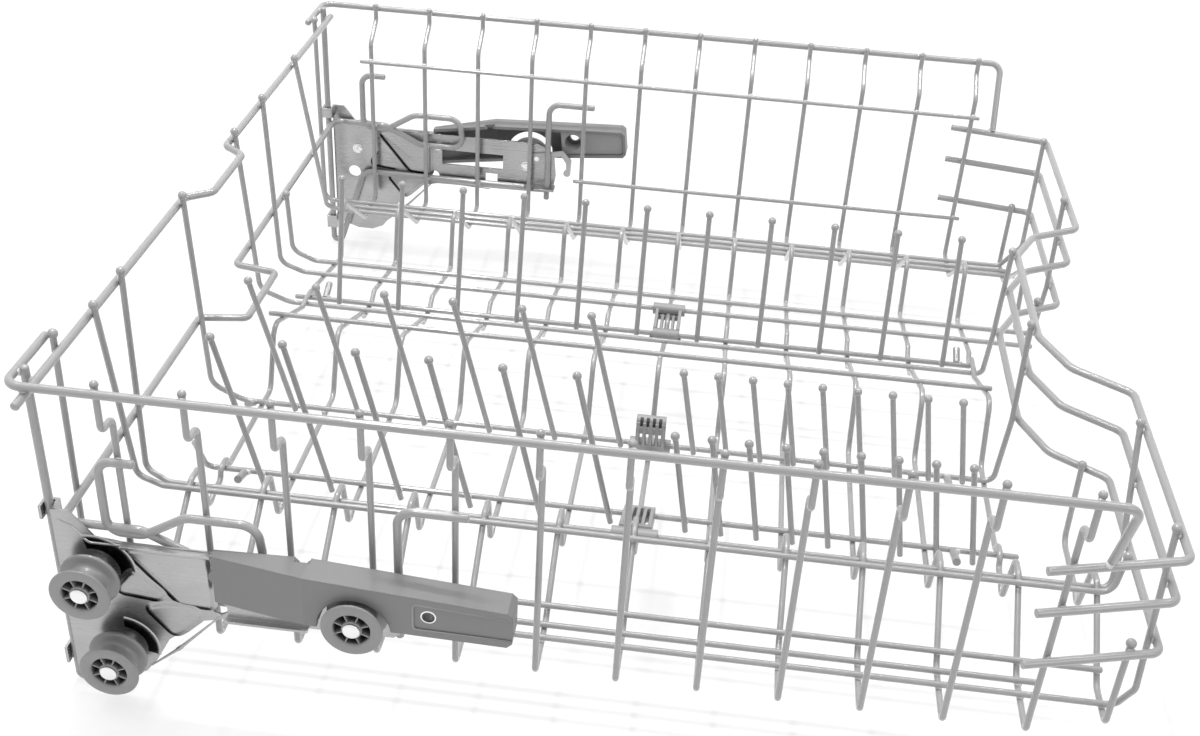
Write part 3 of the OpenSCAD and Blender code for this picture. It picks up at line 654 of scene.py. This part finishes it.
@dataclass
class WireWork:
    """Weld beads where wires touch and rounded coating over their cut ends."""

    bead_across: float = 1.85
    bead_deep: float = 1.25
    ragged: float = 0.16

    def lumps(self, shape: Shape, touches: Sequence[Touch], seed: int) -> None:
        """Adds an uneven bead at each touch.

        Args:
            shape: Mesh to add them to.
            touches: Where the wires touch.
            seed: Start of the fixed random draws.
        """
        ball = bmesh.new()
        bmesh.ops.create_icosphere(ball, subdivisions=2, radius=1.0)
        sphere = np.array([v.co for v in ball.verts])
        faces = [[v.index for v in f.verts] for f in ball.faces]
        ball.free()
        draws = np.random.default_rng(seed)
        for touch in touches:
            normal = touch.normal / np.linalg.norm(touch.normal)
            helper = np.array([1.0, 0.0, 0.0]) if abs(normal[0]) < 0.7 else np.array([0.0, 1.0, 0.0])
            side = np.cross(normal, helper)
            side /= np.linalg.norm(side)
            waves = draws.normal(size=(3, 3)) * 2.2
            lump = 1 + self.ragged * np.sin(sphere @ waves[0]) * np.sin(sphere @ waves[1] + 1.0)
            size = np.array([self.bead_across, self.bead_across, self.bead_deep]) * draws.uniform(0.88, 1.1)
            local = sphere * size * lump[:, None]
            placed = local[:, :1] * side + local[:, 1:2] * np.cross(normal, side) + local[:, 2:] * normal
            shape.add(placed + self.rack_place(touch.place), faces)

    def rack_place(self, point: np.ndarray) -> np.ndarray:
        """Turns a point of the frame back into rack millimetres."""
        return point / MM - np.array([DATUM.x, DATUM.y, DATUM.z])

    def domes(self, shape: Shape, ends: Sequence[tuple[np.ndarray, np.ndarray, float]]) -> None:
        """Adds a low dome of coating on each cut end."""
        angles = np.linspace(0, 2 * math.pi, 20, endpoint=False)
        for centre, normal, radius in ends:
            normal = normal / np.linalg.norm(normal)
            helper = np.array([0.0, 0.0, 1.0]) if abs(normal[2]) < 0.7 else np.array([1.0, 0.0, 0.0])
            side = np.cross(normal, helper)
            side /= np.linalg.norm(side)
            up = np.cross(normal, side)
            base = self.rack_place(centre)
            rows = []
            for step in np.linspace(0.0, 0.97, 6):
                lift = math.sin(step * math.pi / 2) * 0.6
                wide = math.cos(step * math.pi / 2)
                ring = side * np.cos(angles)[:, None] + up * np.sin(angles)[:, None]
                rows.append(base + ring * wide * radius / MM + normal * lift * radius / MM)
            shape.grid(np.array(rows), caps=True)

    def build(self, label: str, body: str, nodes: Sequence[str], look: Look, seed: int) -> None:
        """Builds the beads and the domes for the wires of one body.

        Args:
            label: Start of the pieces' names.
            body: CAD body.
            nodes: Its wire nodes.
            look: Finish of the wires.
            seed: Start of the fixed random draws.
        """
        wires = [WireMesh(name) for name in nodes]
        beads, domes = Shape(), Shape()
        for i, wire in enumerate(wires):
            for other in wires[i + 1:]:
                self.lumps(beads, wire.touches(other), seed + i)
            self.domes(domes, wire.round_ends())
        beads.finish(f"{label}_weld_beads", body, Look.WELD, sharp=80.0)
        domes.finish(f"{label}_wire_ends", body, look, sharp=60.0)


@dataclass
class Roller:
    """Spool roller: two flanges, a hollow running groove and a spoked pocket in its outer face."""

    name: str
    centre: tuple[float, float]
    side: Side
    face_y: float = -13.5
    bore_r: float = 3.02
    hub_r: float = 4.9
    pocket_r: float = 8.5
    flange_r: float = 14.6
    groove_r: float = 9.6
    width: float = 13.5
    spokes: int = 8

    def section(self) -> list[tuple[float, float, float]]:
        """Gives the closed section as radius, y and tone; the tone paints shade into the pocket, the bore and the
        groove.
        """
        hub, pocket, flange, groove = self.hub_r, self.pocket_r, self.flange_r, self.groove_r
        corners = [
            (self.bore_r, 0.25, 0.3), (hub - 0.35, 0.25, 0.0), (hub, 0.6, 0.1), (hub, 2.2, 0.6), (hub, 6.3, 1.0),
            (hub + 0.5, 6.95, 1.0), (pocket - 0.5, 6.95, 1.0), (pocket, 6.3, 1.0), (pocket, 2.4, 0.7),
            (pocket + 0.1, 1.0, 0.25), (pocket + 0.45, 0.35, 0.05), (pocket + 1.2, 0.06, 0.0),
            (pocket + 2.2, 0.0, 0.0), (flange - 0.9, 0.0, 0.0), (flange - 0.35, 0.14, 0.0),
            (flange - 0.05, 0.5, 0.0), (flange, 0.85, 0.0), (flange - 0.06, 1.25, 0.0),
            (flange - 0.45, 1.6, 0.0), (flange - 1.4, 1.95, 0.05), (groove + 1.6, 2.75, 0.12),
            (groove + 0.7, 3.35, 0.2), (groove + 0.2, 4.1, 0.12), (groove, 5.1, 0.0),
            (groove - 0.02, self.width / 2 + 0.1, 0.0), (groove, self.width - 5.0, 0.0),
            (groove + 0.25, self.width - 4.1, 0.05), (groove + 0.9, self.width - 3.3, 0.05),
            (groove + 2.1, self.width - 2.75, 0.0), (flange - 1.2, self.width - 2.3, 0.0),
            (flange - 0.35, self.width - 2.0, 0.0), (flange, self.width - 1.6, 0.0),
            (flange, self.width - 0.7, 0.0), (flange - 0.5, self.width - 0.1, 0.0),
            (flange - 1.2, self.width, 0.0), (self.bore_r + 3.2, self.width, 0.1), (self.bore_r, self.width, 0.3)]
        return [(r, self.face_y + t, tone) for r, t, tone in corners]

    def add_spokes(self, shape: Shape) -> None:
        """Adds the spokes: thin ribs with a rounded front edge between hub and pocket wall, with shade painted at
        their roots.
        """
        half, front, back = 0.45, 0.7, 7.1
        section = [(-half, back), (-half, front + 0.3), (-half * 0.55, front), (half * 0.55, front),
                   (half, front + 0.3), (half, back)]
        tones = [1.0, 0.35, 0.0, 0.0, 0.35, 1.0]
        for k in range(self.spokes):
            angle = math.radians(22.5 + 360 / self.spokes * k)
            out = np.array([math.cos(angle), 0.0, math.sin(angle)])
            across = np.array([-math.sin(angle), 0.0, math.cos(angle)])
            middle = np.array([self.centre[0], self.face_y, self.centre[1]])
            rows = [[middle + out * r + across * u + np.array([0.0, t, 0.0]) for u, t in section]
                    for r in (self.hub_r - 0.3, (self.hub_r + self.pocket_r) / 2, self.pocket_r + 0.3)]
            shape.grid(np.array(rows), np.array([tones] * 3), caps=True)

    def build(self) -> bpy.types.Object:
        """Builds the roller in place of its CAD node."""
        shape = Shape()
        shape.turn(self.section(), self.centre, steps=72, closed=True)
        self.add_spokes(shape)
        node = f"{self.side.value}_{self.name}"
        return shape.finish(f"{node}_dressed", node, Look.ROLLER, self.side, 50.0, [node])


@dataclass(frozen=True)
class Pressing:
    """A form pressed out of the carriage sheet, whose lower rear flank is painted dark as shade and dark reflection.
    """

    outline: tuple
    rise: float
    grow: float = 2.0
    corner: float = 2.4
    flank: float = 2.6
    shade: float = 1.0
    shade_way: tuple[float, float] = (-0.75, -0.66)

    def ring(self, inset: float) -> tuple[np.ndarray, np.ndarray]:
        """Gives the rounded outline moved inwards, and its outward normals."""
        line = soften(np.array(self.outline, float), self.corner)
        along = np.roll(line, -1, axis=0) - np.roll(line, 1, axis=0)
        along /= np.linalg.norm(along, axis=1, keepdims=True)
        area = np.sum(line[:, 0] * np.roll(line[:, 1], -1) - np.roll(line[:, 0], -1) * line[:, 1])
        normal = np.stack([along[:, 1], -along[:, 0]], axis=1) * math.copysign(1.0, area)
        return line + normal * (self.grow - inset), normal

    def rows(self, steps: Sequence[tuple[float, float, float]], y: float, way: float,
             shape: Shape) -> None:
        """Adds rings from the sheet to the top of the form and closes it.

        Args:
            steps: Inset, height and painted-shade tone of each ring, as shares of flank, rise and shade.
            y: Plane of the sheet.
            way: -1 outwards and 1 inwards.
            shape: Mesh to add to.
        """
        rings, tones = [], []
        for inset, height, tone in steps:
            line, normal = self.ring(inset * self.flank)
            # Sides that face down and to the rear get painted shade and dark reflection.
            facing = np.clip(normal @ np.array(self.shade_way) * 1.6 + 0.15, 0.0, 1.0)
            rings.append(np.stack([line[:, 0], np.full(len(line), y + way * height), line[:, 1]], axis=1))
            tones.append(facing * tone * self.shade)
        top = rings[-1]
        count = len(top)
        shape.grid(np.array(rings), np.array(tones))
        shape.add(top, [tuple(range(count))], 0.0)

    def outside(self, shape: Shape, y: float) -> None:
        """Adds the raised form on the sheet's outer face, with a flat skirt and flanks painted dark as shade and dark
        reflection on their lower rear sides.
        """
        rise = self.rise
        self.rows([(-0.5, 0.02, 0.0), (-0.45, 0.05, 1.0), (0.0, 0.06, 1.0), (0.12, 0.12 * rise, 1.0), (0.4, 0.62 * rise, 1.0),
                   (0.62, 0.9 * rise, 0.9), (0.82, rise, 0.2), (1.0, rise, 0.0)], y, -1.0, shape)

    def inside(self, shape: Shape, y: float) -> None:
        """Adds the dent on the sheet's inner face, with its sides painted dark as shade."""
        self.rows([(0.0, 0.02, 0.0), (0.15, 0.16, 0.7), (0.4, 0.2, 1.0), (0.75, 0.12, 1.0), (1.0, 0.06, 0.2)],
                  y, 1.0, shape)


@dataclass
class Lever:
    """Trim of the release lever: the lip round its open finger recess and the eyelet in its hole."""

    side: Side
    face_y: float = -8.5
    pivot: tuple[float, float] = (47.0, -97.0)
    far_lift_degrees: float = 6.9
    recess: tuple = ((186.5, -93.8), (141.0, -90.5), (141.0, -105.2), (186.5, -105.8))
    eyelet: tuple[float, float] = (148.2, -97.5)
    panel: tuple = ((139.5, -88.9), (183.3, -92.1), (184.7, -93.4), (184.7, -106.4), (183.3, -107.6), (139.5, -106.7))
    panel_y: float = 4.4
    panel_hole_r: float = 6.0
    wall: float = 1.8

    def lifted(self, shape: Shape) -> Shape:
        """Turns the trim about the lever pin where the lever rests lifted."""
        if self.side is Side.FAR:
            angle = math.radians(self.far_lift_degrees)
            c, s = math.cos(angle), math.sin(angle)
            for points in shape.points:
                x, z = points[:, 0] - self.pivot[0], points[:, 2] - self.pivot[1]
                points[:, 0], points[:, 2] = self.pivot[0] + c * x - s * z, self.pivot[1] + s * x + c * z
        return shape

    def inner_panel(self) -> Shape:
        """Builds the raised back of the finger recess, which the hole passes through."""
        angles = np.linspace(0, 2 * math.pi, 32, endpoint=False)
        hole = np.array(self.eyelet) + self.panel_hole_r * np.stack([np.cos(angles), np.sin(angles)], axis=1)
        shape, tops = Shape(), []
        for loop in (soften(np.array(self.panel), 1.2), hole):
            rows = [np.stack([loop[:, 0], np.full(len(loop), y), loop[:, 1]], axis=1)
                    for y in (self.face_y + self.wall - 0.05, self.panel_y)]
            shape.grid(np.array(rows))
            tops.append(rows[-1])
        shape.add(np.concatenate(tops), tessellate_polygon([[Vector(p) for p in loop] for loop in tops]))
        return shape

    def build(self) -> None:
        """Dresses the lever and adds its trim."""
        name = f"{self.side.value}_lever"
        FINISHES.dress(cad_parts[name], Look.LEVER)
        lip = Shape()
        lip.sweep(self.recess, 0.55, self.face_y + 0.12)
        self.lifted(lip).finish(f"{name}_recess_lip", name, Look.CLIP, self.side)
        # The inner panel takes the lighter clip plastic rather than the lever's own, painted lighter for the light
        # that falls on the back of the recess.
        self.lifted(self.inner_panel()).finish(f"{name}_inner_panel", name, Look.CLIP, self.side)
        eyelet = Shape()
        front = self.face_y + 0.35
        eyelet.turn([(2.9, front + 1.4, 0.0), (2.9, front + 0.3, 0.0), (3.0, front + 0.05, 0.0),
                     (3.3, front, 0.0), (3.68, front + 0.15, 0.0), (3.68, front + 1.4, 0.0)],
                    self.eyelet, steps=40, closed=True)
        self.lifted(eyelet).finish(f"{name}_eyelet", name, Look.PIN, self.side)


@dataclass
class Carriage:
    """One height-adjuster carriage: pressed sheet, axle pins, rollers, lever, latch and their pins."""

    side: Side
    sheet_y: float = 6.6
    sheet_t: float = 1.4
    axle_r: float = 2.95
    head_r: float = 4.1
    head_y: float = -13.8
    axles: tuple = ((-14.5, -105.0), (-6.5, -152.0), (113.5, -106.3))

    forms: tuple = (
        Pressing(((3.0, -91.2), (25.5, -119.2), (40.0, -119.8), (40.0, -90.2)), 1.8, flank=3.0),
        Pressing(((3.5, -104.4), (16.4, -115.5), (14.0, -118.5), (-3.4, -116.6), (-2.8, -112.2)), 1.2),
        Pressing(((9.3, -126.0), (20.2, -139.7), (24.0, -137.0), (33.8, -127.3), (29.4, -121.6), (16.0, -123.5)),
                 1.2))
    lips_and_shade_line: tuple = (
        (((44.8, -125.0), (21.6, -149.9), (6.0, -163.7)), 1.2, 0.0),
        (((-29.5, -77.4), (-22.7, -80.9), (-16.2, -89.2), (3.1, -89.0), (9.4, -91.6), (41.2, -90.3)), 0.7, 0.0),
        # This last bead is no lip: a dark line painted as the shadow under the lever.
        (((48.0, -127.2), (86.0, -128.6)), 0.8, 0.95))
    clearances: tuple = ((0, 19.5, -35.0, 104.0), (1, 17.6, -12.0, 84.0))

    def node(self, name: str) -> str:
        """Gives the full name of one of this side's nodes or bodies."""
        return f"{self.side.value}_{name}"

    def axle_pins(self) -> None:
        """Builds the three turned axle pins with domed heads and riveted ends, with shade painted under the heads, on
        the shafts and in the rivets.
        """
        shape = Shape()
        back = self.sheet_y + self.sheet_t
        top = self.head_y - 1.0
        for centre in self.axles:
            shape.turn([
                (0.0, top, 0.0), (1.2, top + 0.02, 0.0), (2.4, top + 0.1, 0.0), (3.3, top + 0.26, 0.0),
                (3.85, top + 0.5, 0.0), (self.head_r, top + 0.78, 0.0), (self.head_r - 0.05, top + 1.0, 0.4),
                (self.axle_r, top + 1.02, 0.8), (self.axle_r, back, 0.3), (self.axle_r + 0.75, back + 0.02, 0.2),
                (self.axle_r + 0.75, back + 0.5, 0.0), (self.axle_r + 0.3, back + 0.82, 0.0),
                (0.8, back + 0.9, 0.0), (0.0, back + 0.75, 0.3)], centre, steps=56)
        shape.finish(self.node("axle_pins_dressed"), self.node("carriage"), Look.PIN, self.side, 40.0,
                     [self.node("axle_pins")])

    def clearance(self, shape: Shape, centre: tuple[float, float], reach: float, start: float,
                  end: float) -> None:
        """Adds the shallow seat that is pressed round a roller, painted dark as shade and dark reflection.

        Args:
            shape: Mesh to add to.
            centre: x and z of the roller's axle.
            reach: Outer radius of the seat.
            start: First angle in degrees.
            end: Last angle in degrees.
        """
        section = [(12.0, 0.05, 1.0), (reach - 1.5, 0.05, 1.0), (reach - 0.7, 0.3, 0.85), (reach - 0.1, 0.5, 0.2),
                   (reach + 0.5, 0.42, 0.0), (reach + 1.0, 0.02, 0.0)]
        rows, tones = [], []
        for angle in np.radians(np.linspace(start, end, 40)):
            rows.append([(centre[0] + r * math.cos(angle), self.sheet_y - h, centre[1] + r * math.sin(angle))
                         for r, h, _ in section])
            tones.append([tone for _, _, tone in section])
        shape.grid(np.array(rows), np.array(tones), wrap_ring=False)

    def pressings(self) -> None:
        """Builds the forms pressed into the sheet, its rolled lip beads, a shadow line painted under the lever and the
        seats round the rear rollers, with shade painted on flanks and seats.
        """
        shape = Shape()
        for form in self.forms:
            form.outside(shape, self.sheet_y)
            form.inside(shape, self.sheet_y + self.sheet_t)
        for path, radius, tone in self.lips_and_shade_line:
            shape.sweep(path, radius, self.sheet_y - 0.1, tone)
        for index, reach, start, end in self.clearances:
            self.clearance(shape, self.axles[index], reach, start, end)
        shape.finish(self.node("carriage_pressings"), self.node("carriage"), Look.SHEET, self.side, 50.0)

    def rollers(self) -> None:
        """Builds the two rear rollers and the front one."""
        for name, centre in zip(("upper_roller", "lower_roller", "front_roller"), self.axles):
            Roller(name, centre, self.side).build()

    def build(self) -> None:
        """Builds and dresses the carriage."""
        self.axle_pins()
        self.rollers()
        self.pressings()
        Lever(self.side).build()
        FINISHES.dress(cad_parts[self.node("carriage")], Look.SHEET)
        for name in ("lever_pin", "latch_pin"):
            FINISHES.dress(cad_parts[self.node(name)], Look.PIN)
        FINISHES.dress(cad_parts[self.node("latch")], Look.SHEET)


@dataclass(frozen=True)
class CombClip:
    """Rounded fins between the slots of a comb clip, which lies from one wire to another."""

    node: str
    start: tuple[float, float]
    end: tuple[float, float]
    base: float
    crown: float
    feet: float = 0.0
    past: float = 0.0
    middle_x: float = 234.0
    fin_half: float = 0.95
    fin_step: float = 3.6
    sleeve_r: float = 3.7

    def place(self, x: np.ndarray, along: np.ndarray, height: np.ndarray) -> np.ndarray:
        """Turns places on the clip into rack millimetres.

        Args:
            x: Distance from the clip's middle.
            along: Distance from the first wire towards the second.
            height: Distance from the plane of both wires.

        Returns:
            Rows of x, y and z.
        """
        way = np.array(self.end) - np.array(self.start)
        way /= np.linalg.norm(way)
        y = self.start[0] + way[0] * along - way[1] * height
        z = self.start[1] + way[1] * along + way[0] * height
        return np.stack([self.middle_x + x, y, z], axis=-1)

    def fin(self, shape: Shape, x: float) -> None:
        """Adds one fin, arched along the clip and round across its back."""
        long = math.dist(self.start, self.end)
        turn = np.linspace(0, math.pi, 7)
        across = np.concatenate([[self.fin_half], self.fin_half * np.cos(turn), [-self.fin_half]])
        lift = np.concatenate([[-1.0], 0.8 * np.sin(turn), [-1.0]])
        rows = []
        for share in np.linspace(0.0, 1.0, 15):
            along = self.sleeve_r - 0.4 + (long - 2 * self.sleeve_r + 0.8 + self.past) * share
            arch = self.base + (self.crown - self.base) * math.sin(math.pi * share) ** 0.6
            height = arch + math.copysign(1.0, self.crown - self.base) * lift * (0.4 + 0.6 * math.sin(math.pi * share))
            rows.append(self.place(x + across, np.full(9, along), height))
        shape.grid(np.array(rows), caps=True)

    def gap(self, shape: Shape, x: float) -> None:
        """Adds a strip in the groove between two fins where they pass over the second sleeve, painted fully dark as
        shade.
        """
        long = math.dist(self.start, self.end)
        half = self.fin_step / 2 - self.fin_half + 0.1
        radius = self.sleeve_r + 0.2
        rows = [self.place(np.array([x - half, x + half]), np.full(2, long + radius * math.sin(a)),
                           np.full(2, radius * math.cos(a))) for a in np.radians(np.linspace(-70, 85, 12))]
        shape.grid(np.array(rows), 1.0, wrap_ring=False)

    def foot(self, shape: Shape, x: float) -> None:
        """Adds one foot under the far sleeve."""
        long = math.dist(self.start, self.end)
        rows = []
        for depth, half in ((2.0, 1.5), (self.feet - 0.5, 1.5), (self.feet - 0.1, 1.2), (self.feet, 0.8)):
            corners = soften(np.array([(-half, -half), (half, -half), (half, half), (-half, half)]), 0.5, steps=3)
            rows.append(self.place(x + corners[:, 0], long + corners[:, 1], np.full(len(corners), depth)))
        shape.grid(np.array(rows), caps=True)

    def build(self) -> None:
        """Dresses the clip and adds its fins and feet."""
        FINISHES.dress(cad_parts[self.node], Look.CLIP)
        shape = Shape()
        for k in range(-2, 3):
            self.fin(shape, k * self.fin_step)
        if self.past:
            for k in range(-2, 2):
                self.gap(shape, (k + 0.5) * self.fin_step)
        if self.feet:
            for x in (-8.6, 8.6):
                self.foot(shape, x)
        shape.finish(f"{self.node}_fins", "basket", Look.CLIP)


@dataclass
class Basket:
    """The welded wire basket, its folding rows and the plastic clips."""

    wires: tuple = (
        "near_rim_wire", "far_rim_wire", "end_cross_wires", "rear_cross_wires", "front_cross_wires", "end_wires",
        "near_floor_wires", "near_hump_wires", "middle_base_wire", "slope_wire", "far_base_wire",
        "far_slope_wires", "far_floor_wires", "far_wall_wires", "front_bar_top", "front_bar_middle",
        "front_bar_low", "rear_rim_wire", "guide_wire", "near_post", "far_post", "near_front_hook",
        "far_front_hook", "middle_tall_tines", "middle_short_tines", "middle_stop_pins")
    near_row: tuple = ("near_row_axle", "near_row_tall_tines", "near_row_short_tines", "near_row_pins")
    far_row: tuple = ("far_row_axle", "far_row_tines", "far_row_pins")
    clips: tuple = (
        CombClip("near_clip", (93.6, -118.2), (139.0, -140.25), 5.0, 5.9),
        CombClip("middle_clip", (206.7, -140.25), (200.7, -120.25), 4.2, 5.6, past=6.6),
        CombClip("far_clip", (344.0, -127.34), (314.0, -128.85), 2.2, 0.2, feet=6.5))

    def build(self) -> None:
        """Dresses the wires and clips."""
        for name in self.wires:
            FINISHES.dress(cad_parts[name], Look.WIRE)
        for name in self.near_row + self.far_row:
            FINISHES.dress(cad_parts[name], Look.TINE)
        for clip in self.clips:
            clip.build()
        work = WireWork()
        work.build("basket", "basket", self.wires, Look.WIRE, 11)
        work.build("near_row", "near_row", self.near_row, Look.TINE, 23)
        work.build("far_row", "far_row", self.far_row, Look.TINE, 37)


@dataclass(frozen=True)
class Studio:
    """Pale floor, white surroundings, soft lamps and the photograph's camera."""

    eye: tuple[float, float, float] = (0.0382, -0.7584, 0.5465)
    turn_degrees: tuple[float, float, float] = (57.499, -2.994, 6.553)
    lens_mm: float = 44.45
    sensor_mm: float = 36.0
    floor_half: float = 6.0
    floor_z: float = -0.0004
    sky_level: float = 0.50
    strip_watts: float = 24.0
    strip_size: tuple[float, float] = (2.6, 0.06)
    fill_watts: float = 5.0

    def camera(self) -> None:
        """Sets the camera at the photograph's place and angle."""
        data = bpy.data.cameras.new("camera")
        data.lens = self.lens_mm
        data.sensor_width = self.sensor_mm
        data.clip_end = 50.0
        eye = bpy.data.objects.new("camera", data)
        eye.location = self.eye
        eye.rotation_euler = [math.radians(a) for a in self.turn_degrees]
        bpy.context.scene.collection.objects.link(eye)
        bpy.context.scene.camera = eye

    def background_mask(self, sketch: NodeSketch) -> bpy.types.NodeSocket:
        """Gives 1 for camera, glossy and transmission rays and 0 for the light that falls on the object."""
        path = sketch.add("LightPath")
        either = sketch.math("MAXIMUM", path.outputs["Is Camera Ray"], path.outputs["Is Glossy Ray"])
        return sketch.math("MAXIMUM", either, path.outputs["Is Transmission Ray"])

    def world(self) -> None:
        """Makes white surroundings whose diffuse light is softer than they look."""
        world = bpy.data.worlds.new("studio")
        world.use_nodes = True
        bpy.context.scene.world = world
        sketch = NodeSketch(world.node_tree)
        soft = sketch.add("Background", {"Color": (1, 1, 1, 1), "Strength": self.sky_level})
        white = sketch.add("Background", {"Color": (1, 1, 1, 1), "Strength": 1.0})
        mixed = sketch.add("MixShader", {0: self.background_mask(sketch), 1: soft.outputs[0], 2: white.outputs[0]})
        sketch.add("OutputWorld", {"Surface": mixed.outputs[0]})

    def floor(self) -> None:
        """Lays the pale floor, which looks white and keeps a faint shadow."""
        mesh = bpy.data.meshes.new("floor")
        reach, z = self.floor_half, self.floor_z
        mesh.from_pydata([(-reach, -reach, z), (reach, -reach, z), (reach, reach, z), (-reach, reach, z)], [],
                         [(0, 1, 2, 3)])
        material = bpy.data.materials.new("floor")
        material.use_nodes = True
        sketch = NodeSketch(material.node_tree)
        place = sketch.add("TexCoord").outputs["Object"]
        level = sketch.math("ADD", 0.93, sketch.math("MULTIPLY", sketch.noise(place, 6.0, 3.0), 0.02))
        matte = sketch.add("BsdfPrincipled", {"Base Color": level, "Roughness": 0.9})
        white = sketch.add("Emission", {"Color": (1, 1, 1, 1), "Strength": 1.0})
        share = sketch.math("MULTIPLY", self.background_mask(sketch), 0.72)
        mixed = sketch.add("MixShader", {0: share, 1: matte.outputs[0], 2: white.outputs[0]})
        sketch.add("OutputMaterial", {"Surface": mixed.outputs[0]})
        mesh.materials.append(material)
        floor = bpy.data.objects.new("floor", mesh)
        bpy.context.scene.collection.objects.link(floor)

    def lamp(self, name: str, place: tuple, size: tuple, watts: float, level: bool = False) -> None:
        """Hangs one rectangular lamp that faces the rack, or straight down where level is true."""
        data = bpy.data.lights.new(name, "AREA")
        data.shape = "RECTANGLE"
        data.size, data.size_y = size
        data.energy = watts
        lamp = bpy.data.objects.new(name, data)
        lamp.location = place
        if not level:
            lamp.rotation_euler = (-Vector(place)).to_track_quat("-Z", "Y").to_euler()
        bpy.context.scene.collection.objects.link(lamp)

    def build(self) -> None:
        """Builds the studio."""
        view = bpy.context.scene.view_settings
        view.view_transform = "Standard"
        self.camera()
        self.world()
        self.floor()
        self.lamp("long_strip_lamp", (0.0, 0.35, 1.7), self.strip_size, self.strip_watts, level=True)
        self.lamp("cross_strip_lamp", (-0.45, 0.0, 1.8), self.strip_size[::-1], self.strip_watts, level=True)
        self.lamp("fill_lamp", (1.3, -1.2, 1.1), (0.8, 0.8), self.fill_watts)


def main() -> None:
    """Builds the studio and the rack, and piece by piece."""
    logging.basicConfig(level=logging.INFO, format="%(name)s %(message)s")
    Studio().build()
    Basket().build()
    for side in Side:
        Carriage(side).build()


if __name__ == "__main__":
    main()
